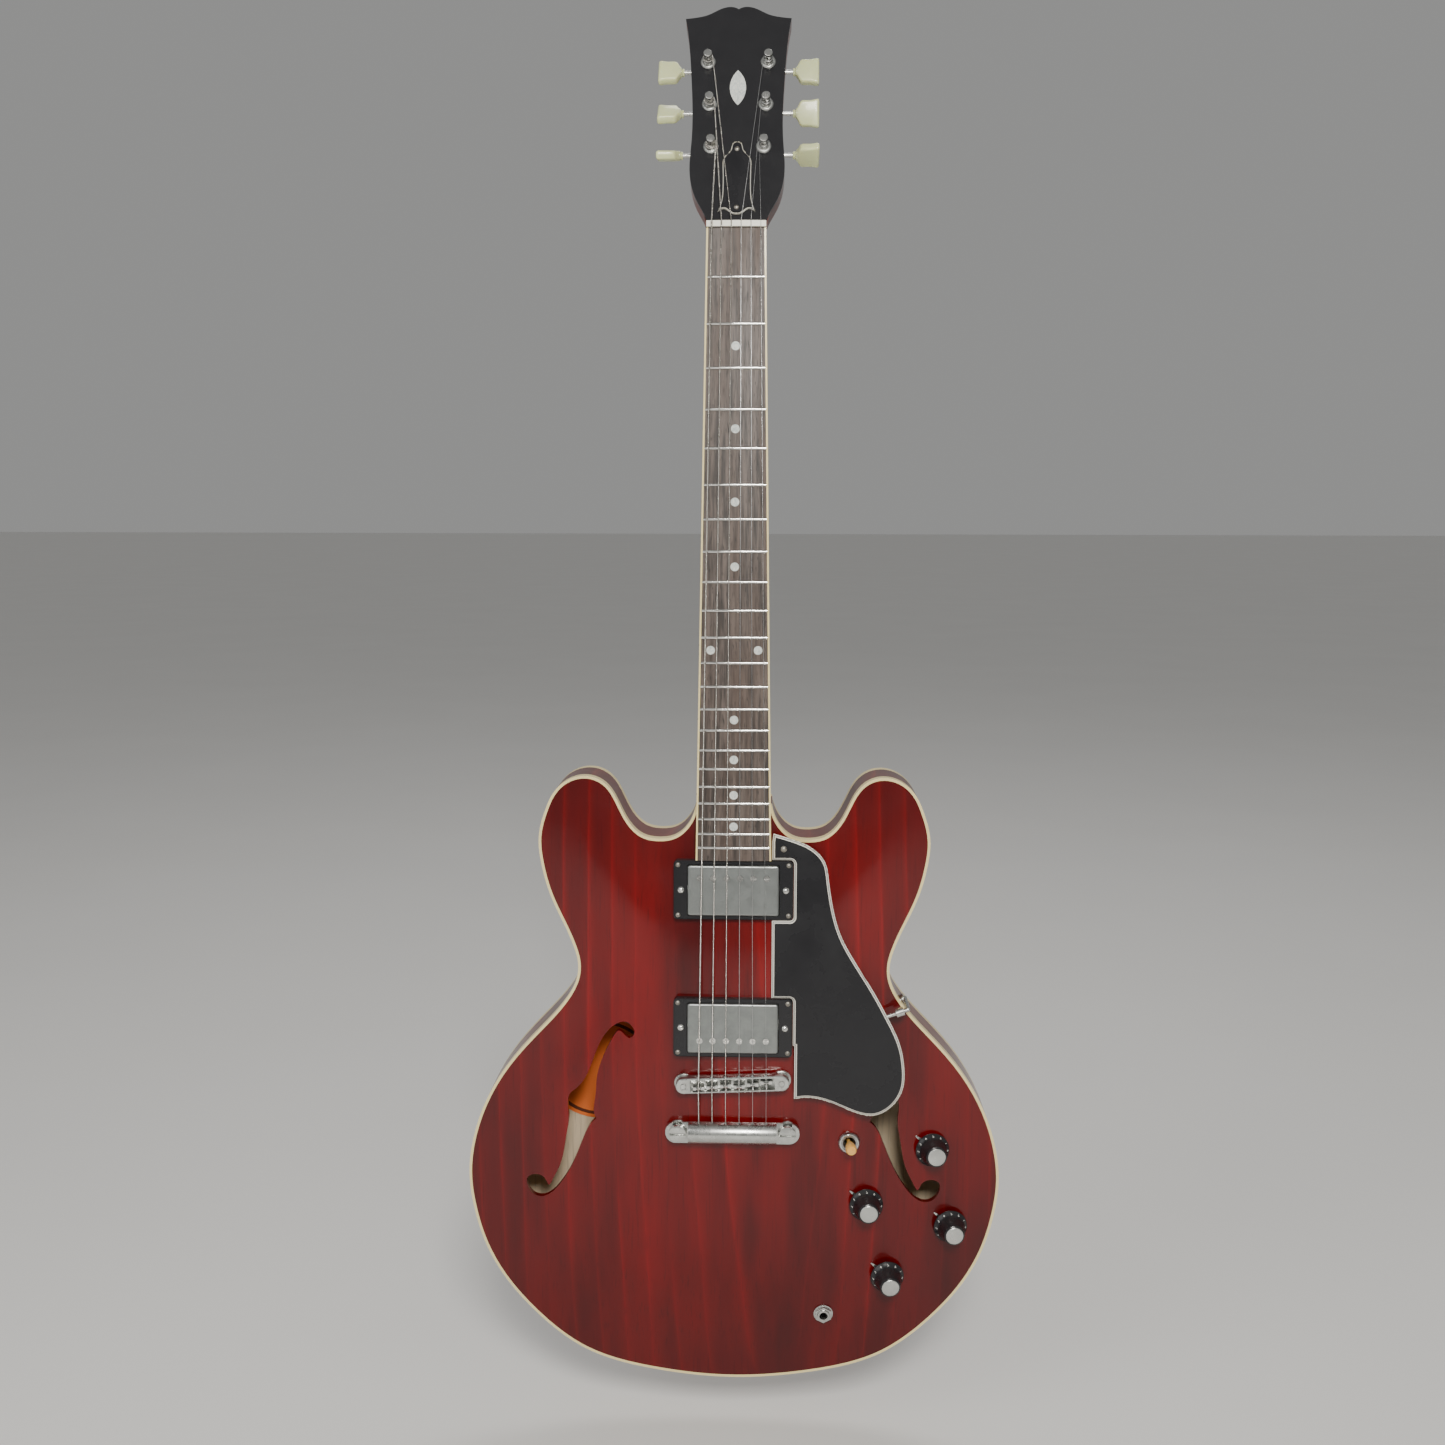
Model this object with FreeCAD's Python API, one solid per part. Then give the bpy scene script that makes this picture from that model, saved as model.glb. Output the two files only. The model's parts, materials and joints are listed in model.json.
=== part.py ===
import FreeCAD, Part
import math
import os

# Semi-hollow electric guitar, in millimetres.
# Row frame: +Z up along the strings towards the head, +X to the player's treble side seen from the
# front, front face towards -Y. The origin is on the centre line at the nut, in the glue plane
# between the neck and the fingerboard.
# Every piece is drawn in a face frame (x across, s along the strings, t out of the front) and then
# placed in the row frame.

V = FreeCAD.Vector

# ---- overall ----
SCALE_LENGTH = 628.0
BODY_WIDTH = 411.2
BODY_LENGTH = 483.9
RIM_DEPTH = 44.5
NECK_ANGLE = 3.6
HEAD_PITCH = 17.0
GLUE = 0.05                # thickness of a glue line, and the gap left by every seated piece
RUNNING = 0.05             # radial clearance of a shaft that turns in a bore
MOVING = 0.35              # gap beside a piece that travels
PAST = 20.0                # how far a cutting piece runs on past what it cuts

# ---- fingerboard, frets and nut ----
FRET_COUNT = 22
NUT_WIDTH = 43.0
BOARD_END_WIDTH = 56.4
BOARD_THICKNESS = 6.0
BOARD_RADIUS = 305.0
BOARD_OVERHANG = 9.8       # board beyond the last fret
BOARD_BINDING = 1.3
FRET_WIDTH = 2.3
FRET_HEIGHT = 1.1
TANG_WIDTH = 0.6
TANG_DEPTH = 1.8
NUT_LENGTH = 4.2
DOT_RADIUS = 3.15
DOT_DEPTH = 1.5
SINGLE_DOTS = (3, 5, 7, 9, 15, 17, 19, 21)
DOUBLE_DOT = 12
DOUBLE_DOT_OFFSET = 17.5

# ---- strings ----
STRING_DIAMETERS = (1.17, 0.91, 0.66, 0.43, 0.33, 0.25)
STRING_SPREAD_NUT = 35.4
STRING_SPREAD_BRIDGE = 51.2
STRING_LIFT_NUT = 7.6      # string centre over the glue plane at the nut
STRING_LIFT_BRIDGE = 9.6   # and at the saddles
BRIDGE_SETBACK = 4.7       # bridge line behind the full scale length

# ---- neck and headstock ----
NECK_DEPTH_NUT = 15.5
NECK_DEPTH_HEEL = 18.5
JOINT_FRET = 19
JOINT_BEYOND_FRET = 2.6
HEEL_START = 56.0          # heel begins to deepen ahead of the body joint
HEEL_DROP = 80.0
TENON_DEPTH = 38.0
HEAD_THICKNESS = 13.0
VENEER = 1.5
ROD_RADIUS = 2.4
ROD_SINK = 9.5             # truss rod axis under the glue plane
ROD_NUT_RADIUS = 3.2
ROD_NUT_START = 17.4       # nut of the truss rod beyond the end of the board
ROD_NUT_LENGTH = 11.0
ROD_FIT = 0.2              # slack of the rod in its slot
POCKET_LOW = 14.0          # wrench pocket in the face of the headstock
POCKET_HIGH = 32.0
POCKET_HALF = 5.6
POCKET_FLOOR = 9.5
COVER_THICKNESS = 2.2
BELL_SCREWS = (57.0, 10.2)  # heights of the truss rod cover's two screws
# half outline of the headstock, from the nut to the middle of its top: (x, height)
HEAD_OUTLINE = [(21.6, 0), (23.6, 6), (29.2, 17), (33.4, 30), (34.7, 44), (33.7, 62), (33.1, 80),
                (33.5, 99), (34.8, 123), (36.4, 145), (39.4, 166.4)]
HEAD_TOP = [(39.4, 166.4), (31.2, 167.4), (22.2, 169.8), (13.2, 174.6), (6.3, 176.3), (0, 174.3)]
# half outline of the bell-shaped truss rod cover
BELL_OUTLINE = [(0, 63.5), (3.6, 61.2), (4.6, 57), (9.2, 51), (10.4, 42), (10.2, 27), (13.8, 7.2),
                (6.4, 8.4), (3.6, 6.2), (0, 5.4)]

# ---- body shell ----
PLATE = 4.8                # thickness of the top and back plates
ARCH = 12.4                # rise of each plate over its edge
ARCH_REACH = 112.0         # distance from the edge at which the arch is fully risen
RIM_THICKNESS = 4.5
BINDING_WIDTH = 2.0
BINDING_HEIGHT = 7.5
LINING_WIDTH = 6.0
LINING_HEIGHT = 13.0
BLOCK_WIDTH = 110.0
GLUE_PLANE_RISE = 3.2      # glue plane over the rim at the body joint
HORN_RISE = 22.0           # horn tips above the body joint
ARCH_GRID = 14.0
# Half outline of the body from beside the neck round to the tail, as shares of the half width and
# of the length below the horn tips.
BODY_OUTLINE = [(0.170, 0.0783), (0.208, 0.0932), (0.246, 0.0990), (0.284, 0.0992), (0.322, 0.0963),
                (0.3585, 0.0864), (0.396, 0.0653), (0.436, 0.0310), (0.479, 0.0097), (0.524, 0.0019),
                (0.568, 0.0019), (0.610, 0.0087), (0.652, 0.0234), (0.682, 0.0465), (0.706, 0.0754),
                (0.7164, 0.1054), (0.710, 0.1349), (0.6736, 0.1936), (0.612, 0.2517), (0.587, 0.2800),
                (0.5754, 0.3079), (0.590, 0.3354), (0.628, 0.3633), (0.748, 0.4210), (0.861, 0.4790),
                (0.938, 0.5377), (0.9835, 0.5964), (1.0, 0.6551), (0.984, 0.7138), (0.9446, 0.7723),
                (0.872, 0.8310), (0.758, 0.8896), (0.565, 0.9540), (0.300, 0.9880), (0.0, 1.0)]
# One sound hole as runs of a closed curve that meet at its corners: (x, height over the tail).
F_HOLE = [[(104.6, 217.6), (106.1, 220.2), (105.5, 234.6), (104.3, 250), (99.3, 266.4), (92.3, 280.7),
           (86.7, 286.8), (82.6, 283.6), (78.4, 281.6), (75.2, 286), (76.6, 290), (81.5, 293.8),
           (88.3, 292.4), (96.2, 285.7), (103.1, 274.4), (108.1, 261.1), (114.1, 247.8), (121.1, 239.5)],
          [(121.1, 239.5), (126.1, 234.3), (126.3, 216.8), (128.5, 202.3), (130.1, 191.9),
           (133.7, 178.3), (138.8, 167.8), (142.9, 162), (145.4, 166.4), (149.7, 169.4),
           (155.7, 169.2), (159.6, 166), (159.3, 159.6), (154.9, 153.4), (148, 151.9), (141, 155.2),
           (135, 161.6), (127.9, 172.1), (120.8, 186.8), (114.7, 202.5), (108.6, 213.9),
           (104.6, 217.6)]]

# ---- shanks of the wood screws ----
SCREW_FIT = 0.15           # slack of a screw in the piece it holds down
RING_SHANK = 0.95
BELL_SHANK = 1.0
BELL_SCREW_LENGTH = 6.0
GUARD_SHANK = 1.3
GUARD_SCREW_LENGTH = 9.0
HOUSING_SHANK = 0.85
HOUSING_SCREW_BITE = 5.0   # into the back of the headstock
HOUSING_SCREW_EDGE = 2.2   # from the end of the housing

# ---- pickups: local frame on the plane of the strings ----
NECK_PICKUP_GAP = 22.5     # centre of the neck pickup beyond the end of the board
BRIDGE_PICKUP_GAP = 43.6   # centre of the bridge pickup ahead of the bridge line
PICKUP_DROP = 3.0          # cover under the strings
PICKUP_TRAVEL = 2.5        # each way from rest
COVER_LENGTH = 68.6
COVER_WIDTH = 38.3
COVER_HEIGHT = 16.5
COVER_WALL = 0.6
COVER_EDGE = 2.2
COVER_ROUND = 1.76         # round along the upper edges, inside the upright ones
POLE_FIT = 0.1
BASE_PLATE_T = -14.1       # upper face of the base plate in the cover
BASE_PLATE_FIT = 0.9       # edge of the base plate inside the cover's wall
BASE_PLATE = 1.4           # thickness of the base plate
EAR_WIDTH = 9.0            # ears of the base plate that the height screws go through
EAR_REACH = 4.9            # height screw beyond the end of the cover
EAR_END = 2.5              # ear beyond its screw
RING_END = 10.4            # ring beyond the end of the cover
RING_SIDE = 3.15           # ring beyond the side of the cover
RING_END_WALL = 6.25
RING_SIDE_WALL = 1.5
RING_CHAMFER = 0.6
RING_EAR_GAP = (0.5, 1.5)  # ring clear of an ear, at its end and at its side
WELL_GAP = (1.5, 1.0)      # well in the body clear of the cover, at its end and at its side
WELL_EAR_GAP = (1.0, 2.0)
WELL_CORNER = 2.0
WELL_DEPTH = 36.0
RING_DROP = 2.2            # top of the ring under the top of the cover
RING_CORNER = 3.0
RING_PLATE = 3.0
RING_SCREW_EDGE = 3.3      # corner screw in from the ring's edges
RING_SCREW_LENGTH = 11.0
HEIGHT_HOLE = 1.6
POLE_RADIUS = 2.3
POLE_SHANK = 1.7
POLE_RISE = 0.35           # pole screws above the cover
POLE_SLOT = 0.3            # half width of the slot in a pole screw
POLE_HEAD = 0.9            # pole heads into the bobbin
POLE_TAIL = 5.0            # pole screws below the base plate's upper face
POLE_END = 7.5             # outer pole in from the end of its bobbin
BOBBIN_END_FIT = 1.2       # bobbin inside the cover's end wall
BOBBIN_SIDE_FIT = 0.55     # and inside its side wall
BOBBIN_APART = 1.2
BOBBIN_FLANGE = 1.4
BOBBIN_CORE = 2.0          # coil inside the edge of its flanges
BOBBIN_CORNER = 6.0
BOBBIN_TOP = 0.1           # bobbins under the cover's inner face
SPRING_RADIUS = 2.2
SPRING_WIRE = 0.3
SPRING_TURNS = 5
SPRING_RISE = 2.4          # foot of the spring over the lower edge of the cover

# ---- bridge and tailpiece ----
POST_X = 37.2
BRIDGE_SLANT = 2.5
POST_RADIUS = 2.0
WHEEL_RADIUS = 6.9
WHEEL_HEIGHT = 2.4
BRIDGE_LENGTH = 86.0
BRIDGE_WIDTH = 12.2
BRIDGE_HEIGHT = 8.0
BRIDGE_WALL = 1.5
BRIDGE_FLOOR = 2.2
SADDLE_WIDTH = 8.6
SADDLE_LENGTH = 3.9
SADDLE_SCREW = 0.95
SADDLE_SCREW_DROP = 2.7    # intonation screws under the top of the bridge
SADDLE_SCREW_FIT = 0.08
WHEEL_RISE = 0.8           # thumbwheels over the top plate
POST_DEPTH = 20.0
POST_RISE = 0.4            # bridge posts over the top of the bridge
POST_SLACK = 0.25          # bridge on its posts
WHEEL_FIT = 0.03
BRIDGE_CHAMFER = 0.7
CHANNEL_REACH = 32.0
NOTCH_DEPTH = 0.35         # of a string in its saddle
SADDLE_CREST = 1.3         # crest behind the saddle's front face
SADDLE_SLOPE = 2.6
SADDLE_MIDDLE = 1.9        # half width of the raised middle of a saddle
SADDLE_SHOULDER = 1.6      # sides of a saddle under its crest
NOTCH_FIT = 0.2            # slack of a string in its saddle's notch
SADDLE_SHIFT = (-1.7, -0.9, -0.1, -0.9, 0.3, 1.3)
TAIL_BEHIND = 39.6
STUD_X = 41.8
TAIL_LENGTH = 102.0
TAIL_WIDTH = 16.6
TAIL_HEIGHT = 12.0
TAIL_LIFT = 2.4
BALL_RADIUS = 1.9
BALL_SEAT = 4.0            # depth of the seat of a string's ball in the tailpiece
STUD_NECK = 3.4
STUD_HEAD = 6.6
STUD_BUSH = 6.2
LUG = 4.6                  # thickness of the tailpiece's slotted ends

# ---- controls on the top: (distance in from the widest side, height over the tail) ----
KNOB_PLACES = ((52.9, 195.4), (103.0, 152.8), (37.5, 132.8), (85.6, 92.0))
SWITCH_PLACE = (116.6, 202.2)
JACK_PLACE = (134.4, 58.3)
KNOB_RADIUS = 13.0
KNOB_TOP_RADIUS = 7.6
KNOB_HEIGHT = 15.4
KNOB_LIFT = 3.2
SHAFT_RADIUS = 3.0
POT_RADIUS = 12.0
POT_HEIGHT = 9.0
POT_BUSH = 4.75
POT_GAP = 1.0              # pot case under the plate's inner face
POT_LUGS = (16.0, 5.0, 1.0)  # width, reach and thickness of the pot's solder lugs
CONTROL_FIT = 0.1          # slack of a bushing in the top
CONTROL_DRILL = 8.0        # how far a control's hole runs on under the top
KNOB_FLANGE = 1.6          # width of the skirt's foot
KNOB_FLOOR = 2.0
KNOB_WAIST = ((1.9, 6.2), (0.7, 10.0))  # beyond the top's radius, over the knob's foot
KNOB_CAP = 1.2             # cap inside the top of the knob
KNOB_CAP_RISE = (0.5, 0.9)
KNOB_SOCKET = 4.0          # end of the shaft's hole under the top of the knob
WASHER_LIFT = 0.35         # washers over the arched top
WASHER = 0.6
WASHER_RADIUS = 7.4
NUT_GAP = 0.05
POT_NUT = (11.0, 1.55)     # across its flats, and thickness
JACK_NUT = (12.2, 2.15)
JACK_WASHER = (7.6, 0.7)
POINTER = (2.2, 6.4, 3.4)  # half width at its root, root radius, reach beyond the knob
POINTER_TIP = 0.4
POINTER_TURN = 50.0
SWITCH_BUSH = 6.0
SWITCH_RING = ((8.6, 0.0), (8.2, 1.8), (7.2, 3.2))
SWITCH_MOUTH = 5.0         # radius at the top of the collar, down to its throat
SWITCH_THROAT = 3.4
SWITCH_RISE = 3.0
SWITCH_FRAME = (9.0, 7.0, 1.4)  # half length, half width and sheet thickness
SWITCH_FRAME_DROP = 33.0
SWITCH_COLLAR = 4.0        # collar below the inner face of the top
PIVOT_RADIUS = 2.6
LEVER_TAIL = 12.0
LEVER_TOP = 9.5
# radius and height of the switch tip's outside
TIP_PROFILE = [(2.5, 4.4), (3.3, 7.0), (4.1, 12.0), (4.2, 15.5), (3.3, 17.6)]
TIP_TOP = 18.4
LEVER_RADIUS = 1.4
PIVOT_T = -9.0             # ball of the switch lever under the top's face
LEVER_THROW = 12.0         # degrees each way from the middle place
JACK_BORE = 3.25
JACK_SLEEVE = 4.7
JACK_LENGTH = 22.0
JACK_RISE = 4.2            # sleeve over the top plate
JACK_PLATE = (9.0, 2.0, 1.2)  # radius, drop under the inner face, thickness
JACK_SPRING = (2.5, 36.0)  # half width and depth of the contact spring
JACK_HOOK = 4.4

# ---- tuners: (x, height) of the treble-side posts on the headstock ----
POST_PLACES = ((19.25, 60.3), (20.7, 95.0), (22.2, 129.9))
TUNER_POST = 3.1
POST_TOP = 11.5
WIND_LIFTS = (4.1, 5.6, 5.6)  # string meets its post above the veneer, from the nut up
WIND_TURNS = 1.5           # turns of a string round its post
WIND_SIDES = 8             # straight runs in each turn
WIND_GAP = 0.08            # between one turn and the next
BUSHING_TOP = 1.4          # flange of a bushing over the veneer
BUSHING_RADIUS = 4.3
WORM_OFFSET = 5.0
GEAR_RADIUS = 3.0
GEAR_TEETH = 14
GEAR_TOOTH = 0.45
GEAR_WIDTH = 2.8
POST_EYE = (0.9, 6.9, 65.0)  # radius, height over the veneer, turn
WORM_RINGS = (6, 1.3, 0.5, 3.4)  # count, pitch, width, start before the middle
WORM_TAIL = 4.6            # inner end of the key's shaft past the post
WORM_RADIUS = 1.75
KEY_SHAFT = 1.7
HOUSING_LENGTH = 25.0
HOUSING_WIDTH = 13.6
HOUSING_DEPTH = 9.4
HOUSING_CORNER = 4.6
HOUSING_EDGE = 1.6
HOUSING_COLLAR = (3.1, 3.4)  # radius, and reach beyond the housing
HOUSING_WALL = 1.2
HOUSING_ROOM = (5.2, 4.6, 2.6)  # hollow: half width, below the post, above the worm
GEAR_DROP = 5.2            # worm and wheel axis behind the headstock
BUTTON_START = 40.8
BUTTON_LENGTH = 19.4
BUTTON_HALF = 10.2         # half width of a button at its outer end
BUTTON_THICKNESS = 6.6
BUTTON_COLLAR = (2.9, 3.6, 3.0)  # radius at each end, and length
BUTTON_SOCKET = 8.0        # shaft inside the button
# rest angle of each button about its shaft, bass side from the nut up, then the treble side
BUTTON_TURNS = (62.0, 30.0, 12.0, 78.0, 24.0, 5.0)

# ---- strap buttons and their screws ----
STRAP_SCREW = 1.9
STRAP_T = 0.0
STRAP_SCREW_LENGTH = 16.0
HEEL_BUTTON_RISE = 10.0    # heel button above the body joint

# ---- pickguard: outline in the glue plane, (x, distance from the nut) ----
GUARD_LIFT = 1.6           # underside over the glue plane
GUARD_THICKNESS = 2.6
GUARD_SCREW = (37.5, -452.5)
BRACKET_FOOT_T = 8.0
BRACKET_DROP = 151.5       # foot below the body joint
BRACKET_GAP = 0.25         # foot clear of the waist's curve
GUARD_OUTLINE = [(29.8, 441.2), (47.0, 446.4), (60.8, 453.4), (68.6, 462.8), (71.2, 475), (74.2, 494.6),
                 (80.6, 517.4), (93.0, 540.2), (106.2, 561.4), (117.8, 582.6), (126.0, 600.8),
                 (129.4, 618.8), (128.4, 635), (120.6, 648), (107, 655.4), (94.4, 654), (80.2, 648.4),
                 (66.2, 643.6), (55.8, 642.4), (46.6, 643.8)]

# ---- worked-out places ----


def fret_place(number):
    return -SCALE_LENGTH * (1 - 2 ** (-number / 12.0))


TILT = math.radians(NECK_ANGLE)
JOINT_S = fret_place(JOINT_FRET) - JOINT_BEYOND_FRET
JOINT_Z = JOINT_S * math.cos(TILT)
BOARD_END_S = fret_place(FRET_COUNT) - BOARD_OVERHANG
FRONT_T = -JOINT_S * math.sin(TILT) - GLUE_PLANE_RISE
BACK_T = FRONT_T - RIM_DEPTH
HORN_S = JOINT_Z + HORN_RISE
TAIL_S = HORN_S - BODY_LENGTH
HALF_WIDTH = BODY_WIDTH / 2
GEAR_T = -HEAD_THICKNESS - GEAR_DROP
BRIDGE_S = -(SCALE_LENGTH + BRIDGE_SETBACK)
HEIGHT_SCREW_X = COVER_LENGTH / 2 + EAR_REACH
RING_LENGTH = COVER_LENGTH + 2 * RING_END
RING_WIDTH = COVER_WIDTH + 2 * RING_SIDE
RING_SCREW_X = RING_LENGTH / 2 - RING_SCREW_EDGE
RING_SCREW_S = RING_WIDTH / 2 - RING_SCREW_EDGE
BOBBIN_LENGTH = COVER_LENGTH - 2 * (COVER_WALL + BOBBIN_END_FIT)
BOBBIN_WIDTH = (COVER_WIDTH - BOBBIN_APART) / 2 - COVER_WALL - BOBBIN_SIDE_FIT
POLE_OFFSET = (BOBBIN_WIDTH + BOBBIN_APART) / 2
POLE_PITCH = (BOBBIN_LENGTH - 2 * POLE_END) / 5
CHANNEL_HALF = BRIDGE_WIDTH / 2 - BRIDGE_WALL

# ---- frames ----
BODY = FreeCAD.Placement(V(0, 0, 0), FreeCAD.Rotation(V(1, 0, 0), 90))
NECK = FreeCAD.Placement(V(0, 0, 0), FreeCAD.Rotation(V(1, 0, 0), 90 - NECK_ANGLE))
HEAD = NECK.multiply(FreeCAD.Placement(V(0, NUT_LENGTH + 0.2, 0),
                                       FreeCAD.Rotation(V(1, 0, 0), -HEAD_PITCH)))


def board_half(s):
    """Half width of the fingerboard at s."""
    return (NUT_WIDTH + (BOARD_END_WIDTH - NUT_WIDTH) * s / BOARD_END_S) / 2


def placed(shape, frame):
    moved = shape.copy()
    moved.transformShape(frame.toMatrix())
    return moved


def box(x0, x1, s0, s1, t0, t1):
    return Part.makeBox(x1 - x0, s1 - s0, t1 - t0, V(x0, s0, t0))


def cylinder(radius, x, s, t0, t1):
    return Part.makeCylinder(radius, t1 - t0, V(x, s, t0))


def tube(outer, inner, x, s, t0, t1):
    return cylinder(outer, x, s, t0, t1).cut(cylinder(inner, x, s, t0 - 1, t1 + 1))


def rounded_box(length, width, t0, t1, radius, x=0, s=0):
    """A block whose edges along t are rounded."""
    block = box(x - length / 2, x + length / 2, s - width / 2, s + width / 2, t0, t1)
    upright = [edge for edge in block.Edges
               if abs(edge.Vertexes[0].Z - edge.Vertexes[-1].Z) > abs(t1 - t0) / 2]
    return block.makeFillet(radius, upright)


def turned(profile, axis_point=V(0, 0, 0), axis=V(0, 0, 1)):
    """A solid of revolution from (radius, height) pairs."""
    points = [V(radius, 0, height) for radius, height in profile]
    face = Part.Face(Part.makePolygon(points + [points[0]]))
    return face.revolve(axis_point, axis, 360)


def spline(points, closed=False):
    curve = Part.BSplineCurve()
    curve.interpolate([V(*point) for point in points], PeriodicFlag=closed)
    return curve.toShape()


def prism(wire, height):
    return Part.Face(wire).extrude(V(0, 0, height))


def edges_over(shape, level):
    """Edges that lie at the level or over it."""
    return [edge for edge in shape.Edges if min(v.Z for v in edge.Vertexes) > level - 0.01]


def joined(shapes):
    solid = shapes[0].fuse(shapes[1:])
    return solid.removeSplitter()


def group(shapes):
    solids = []
    for shape in shapes:
        solids.extend(shape.Solids)
    return Part.makeCompound(solids)


def rod(start, end, radius):
    path = end - start
    return Part.makeCylinder(radius, path.Length, start, path)


def mirrored(points):
    """Close a half outline that starts and ends on the centre line or at a flat end."""
    return [(-x, s) for x, s in reversed(points)]


# ---- the body's outline and arch ----


def body_curve():
    """Right half of the outline, from inside the neck's width round to the tail, then the left."""
    half = [(board_half(JOINT_S) - 2.0, HORN_S - 4.0), (board_half(JOINT_S) + 0.3, JOINT_Z + 1.5)]
    for share_x, share_s in BODY_OUTLINE:
        half.append((share_x * HALF_WIDTH, HORN_S - share_s * BODY_LENGTH))
    whole = half + [(-x, s) for x, s in reversed(half[:-1])]
    curve = Part.BSplineCurve()
    curve.interpolate([V(x, s, 0) for x, s in whole])
    return curve


BODY_CURVE = body_curve()


def outline_points(inset, count=132):
    """Points of the outline moved inwards, clipped at the flat end across the neck."""
    first = BODY_CURVE.FirstParameter
    span = BODY_CURVE.LastParameter - first
    limit = JOINT_Z - inset
    points = []
    for index in range(count + 1):
        parameter = first + span * index / count
        place = BODY_CURVE.value(parameter)
        along = BODY_CURVE.tangent(parameter)[0]
        points.append(V(place.x + along.y * inset, place.y - along.x * inset, 0))
    start = next(i for i in range(count) if points[i].y > limit >= points[i + 1].y)
    share = (points[start].y - limit) / (points[start].y - points[start + 1].y)
    entry = points[start] + (points[start + 1] - points[start]) * share
    inner = points[start + 1:len(points) - start - 1]
    if (inner[0] - entry).Length < 1.5:
        inner = inner[1:-1]
    return [entry] + inner + [V(-entry.x, entry.y, 0)]


def outline_wire(inset):
    points = outline_points(inset)
    curve = Part.BSplineCurve()
    curve.interpolate(points)
    return Part.Wire([curve.toShape(), Part.makeLine(points[-1], points[0])])


def outline_prism(inset, t0, t1):
    solid = prism(outline_wire(inset), t1 - t0)
    solid.translate(V(0, 0, t0))
    return solid


def outline_ring(outer, inner, t0, t1):
    """Band that follows the outline between two insets."""
    face = Part.makeFace([outline_wire(outer), outline_wire(inner)], "Part::FaceMakerBullseye")
    ring = face.extrude(V(0, 0, t1 - t0))
    ring.translate(V(0, 0, t0))
    return ring


EDGE = outline_points(0)


def edge_distance(x, s):
    """Smooth distance to the outline: it has no crease along the middle, and is 0 outside."""
    inside = False
    total = 0.0
    count = len(EDGE)
    for index in range(count):
        a = EDGE[index]
        b = EDGE[(index + 1) % count]
        if (a.y > s) != (b.y > s) and x < a.x + (s - a.y) * (b.x - a.x) / (b.y - a.y):
            inside = not inside
        length = math.hypot(b.x - a.x, b.y - a.y)
        along_x = (b.x - a.x) / length
        along_s = (b.y - a.y) / length
        off = abs((x - a.x) * along_s - (s - a.y) * along_x) + 1e-3
        near = (a.x - x) * along_x + (a.y - s) * along_s
        far = near + length
        total += (far / math.hypot(off, far) - near / math.hypot(off, near)) / off ** 2
    return math.sqrt(2 / total) if inside else 0.0


def rise(x, s):
    """Height of the arch over the plate's edge: it leaves the edge flat and flattens inside."""
    share = min(edge_distance(x, s) / ARCH_REACH, 1.0)
    return ARCH * (1 - math.cos(math.pi * share)) / 2


def arch_surface(side):
    """Outer face of the top (side 1) or of the back (side -1)."""
    level = FRONT_T if side > 0 else BACK_T
    columns = int(math.ceil((BODY_WIDTH + 16) / ARCH_GRID))
    rows = int(math.ceil((BODY_LENGTH + 16) / ARCH_GRID))
    grid = []
    for column in range(columns + 1):
        x = (column / columns - 0.5) * (BODY_WIDTH + 16)
        line = []
        for row in range(rows + 1):
            s = TAIL_S - 8 + (BODY_LENGTH + 16) * row / rows
            line.append(V(x, s, level + side * HEIGHTS.setdefault((column, row), rise(x, s))))
        grid.append(line)
    surface = Part.BSplineSurface()
    surface.interpolate(grid)
    return surface.toShape()


HEIGHTS = {}
TOP_FACE = arch_surface(1)
BACK_FACE = arch_surface(-1)


def below_top(drop, depth):
    """Slab that starts at a drop under the outer face of the top and goes on inwards."""
    slab = TOP_FACE.extrude(V(0, 0, -depth))
    slab.translate(V(0, 0, -drop))
    return slab


def above_back(lift, depth):
    slab = BACK_FACE.extrude(V(0, 0, depth))
    slab.translate(V(0, 0, lift))
    return slab


AIR = TOP_FACE.extrude(V(0, 0, 60))
AIR.translate(V(0, 0, GLUE))


def top_height(x, s):
    return FRONT_T + rise(x, s)


def seat(x, s):
    """Frame standing on the top plate at (x, s), its z axis along the plate's normal."""
    step = 2.0
    slope_x = (rise(x + step, s) - rise(x - step, s)) / (2 * step)
    slope_s = (rise(x, s + step) - rise(x, s - step)) / (2 * step)
    normal = V(-slope_x, -slope_s, 1)
    turn = FreeCAD.Rotation(V(0, 0, 1), normal)
    return FreeCAD.Placement(V(x, s, top_height(x, s)), turn)


KNOB_SEATS = [seat(HALF_WIDTH - inset, TAIL_S + height) for inset, height in KNOB_PLACES]
SWITCH_SEAT = seat(HALF_WIDTH - SWITCH_PLACE[0], TAIL_S + SWITCH_PLACE[1])
JACK_SEAT = seat(HALF_WIDTH - JACK_PLACE[0], TAIL_S + JACK_PLACE[1])

# ---- strings ----


def string_x(number, s):
    """x of string 0 (bass) to 5 (treble) at s."""
    share = number / 5.0 - 0.5
    spread = STRING_SPREAD_NUT + (STRING_SPREAD_BRIDGE - STRING_SPREAD_NUT) * s / BRIDGE_S
    return share * spread


def string_t(number, s):
    """Height of a string's centre over the glue plane, following the board's radius."""
    lift = STRING_LIFT_NUT + (STRING_LIFT_BRIDGE - STRING_LIFT_NUT) * s / BRIDGE_S
    return lift + STRING_DIAMETERS[number] / 2 - string_x(number, s) ** 2 / (2 * BOARD_RADIUS)


def pickup_frame(s):
    """Frame of a pickup: its z axis is square to the strings, its origin under them."""
    slope = (STRING_LIFT_BRIDGE - STRING_LIFT_NUT) / BRIDGE_S
    height = STRING_LIFT_NUT + slope * s - PICKUP_DROP
    return NECK.multiply(FreeCAD.Placement(V(0, s, height), FreeCAD.Rotation()))


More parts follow.
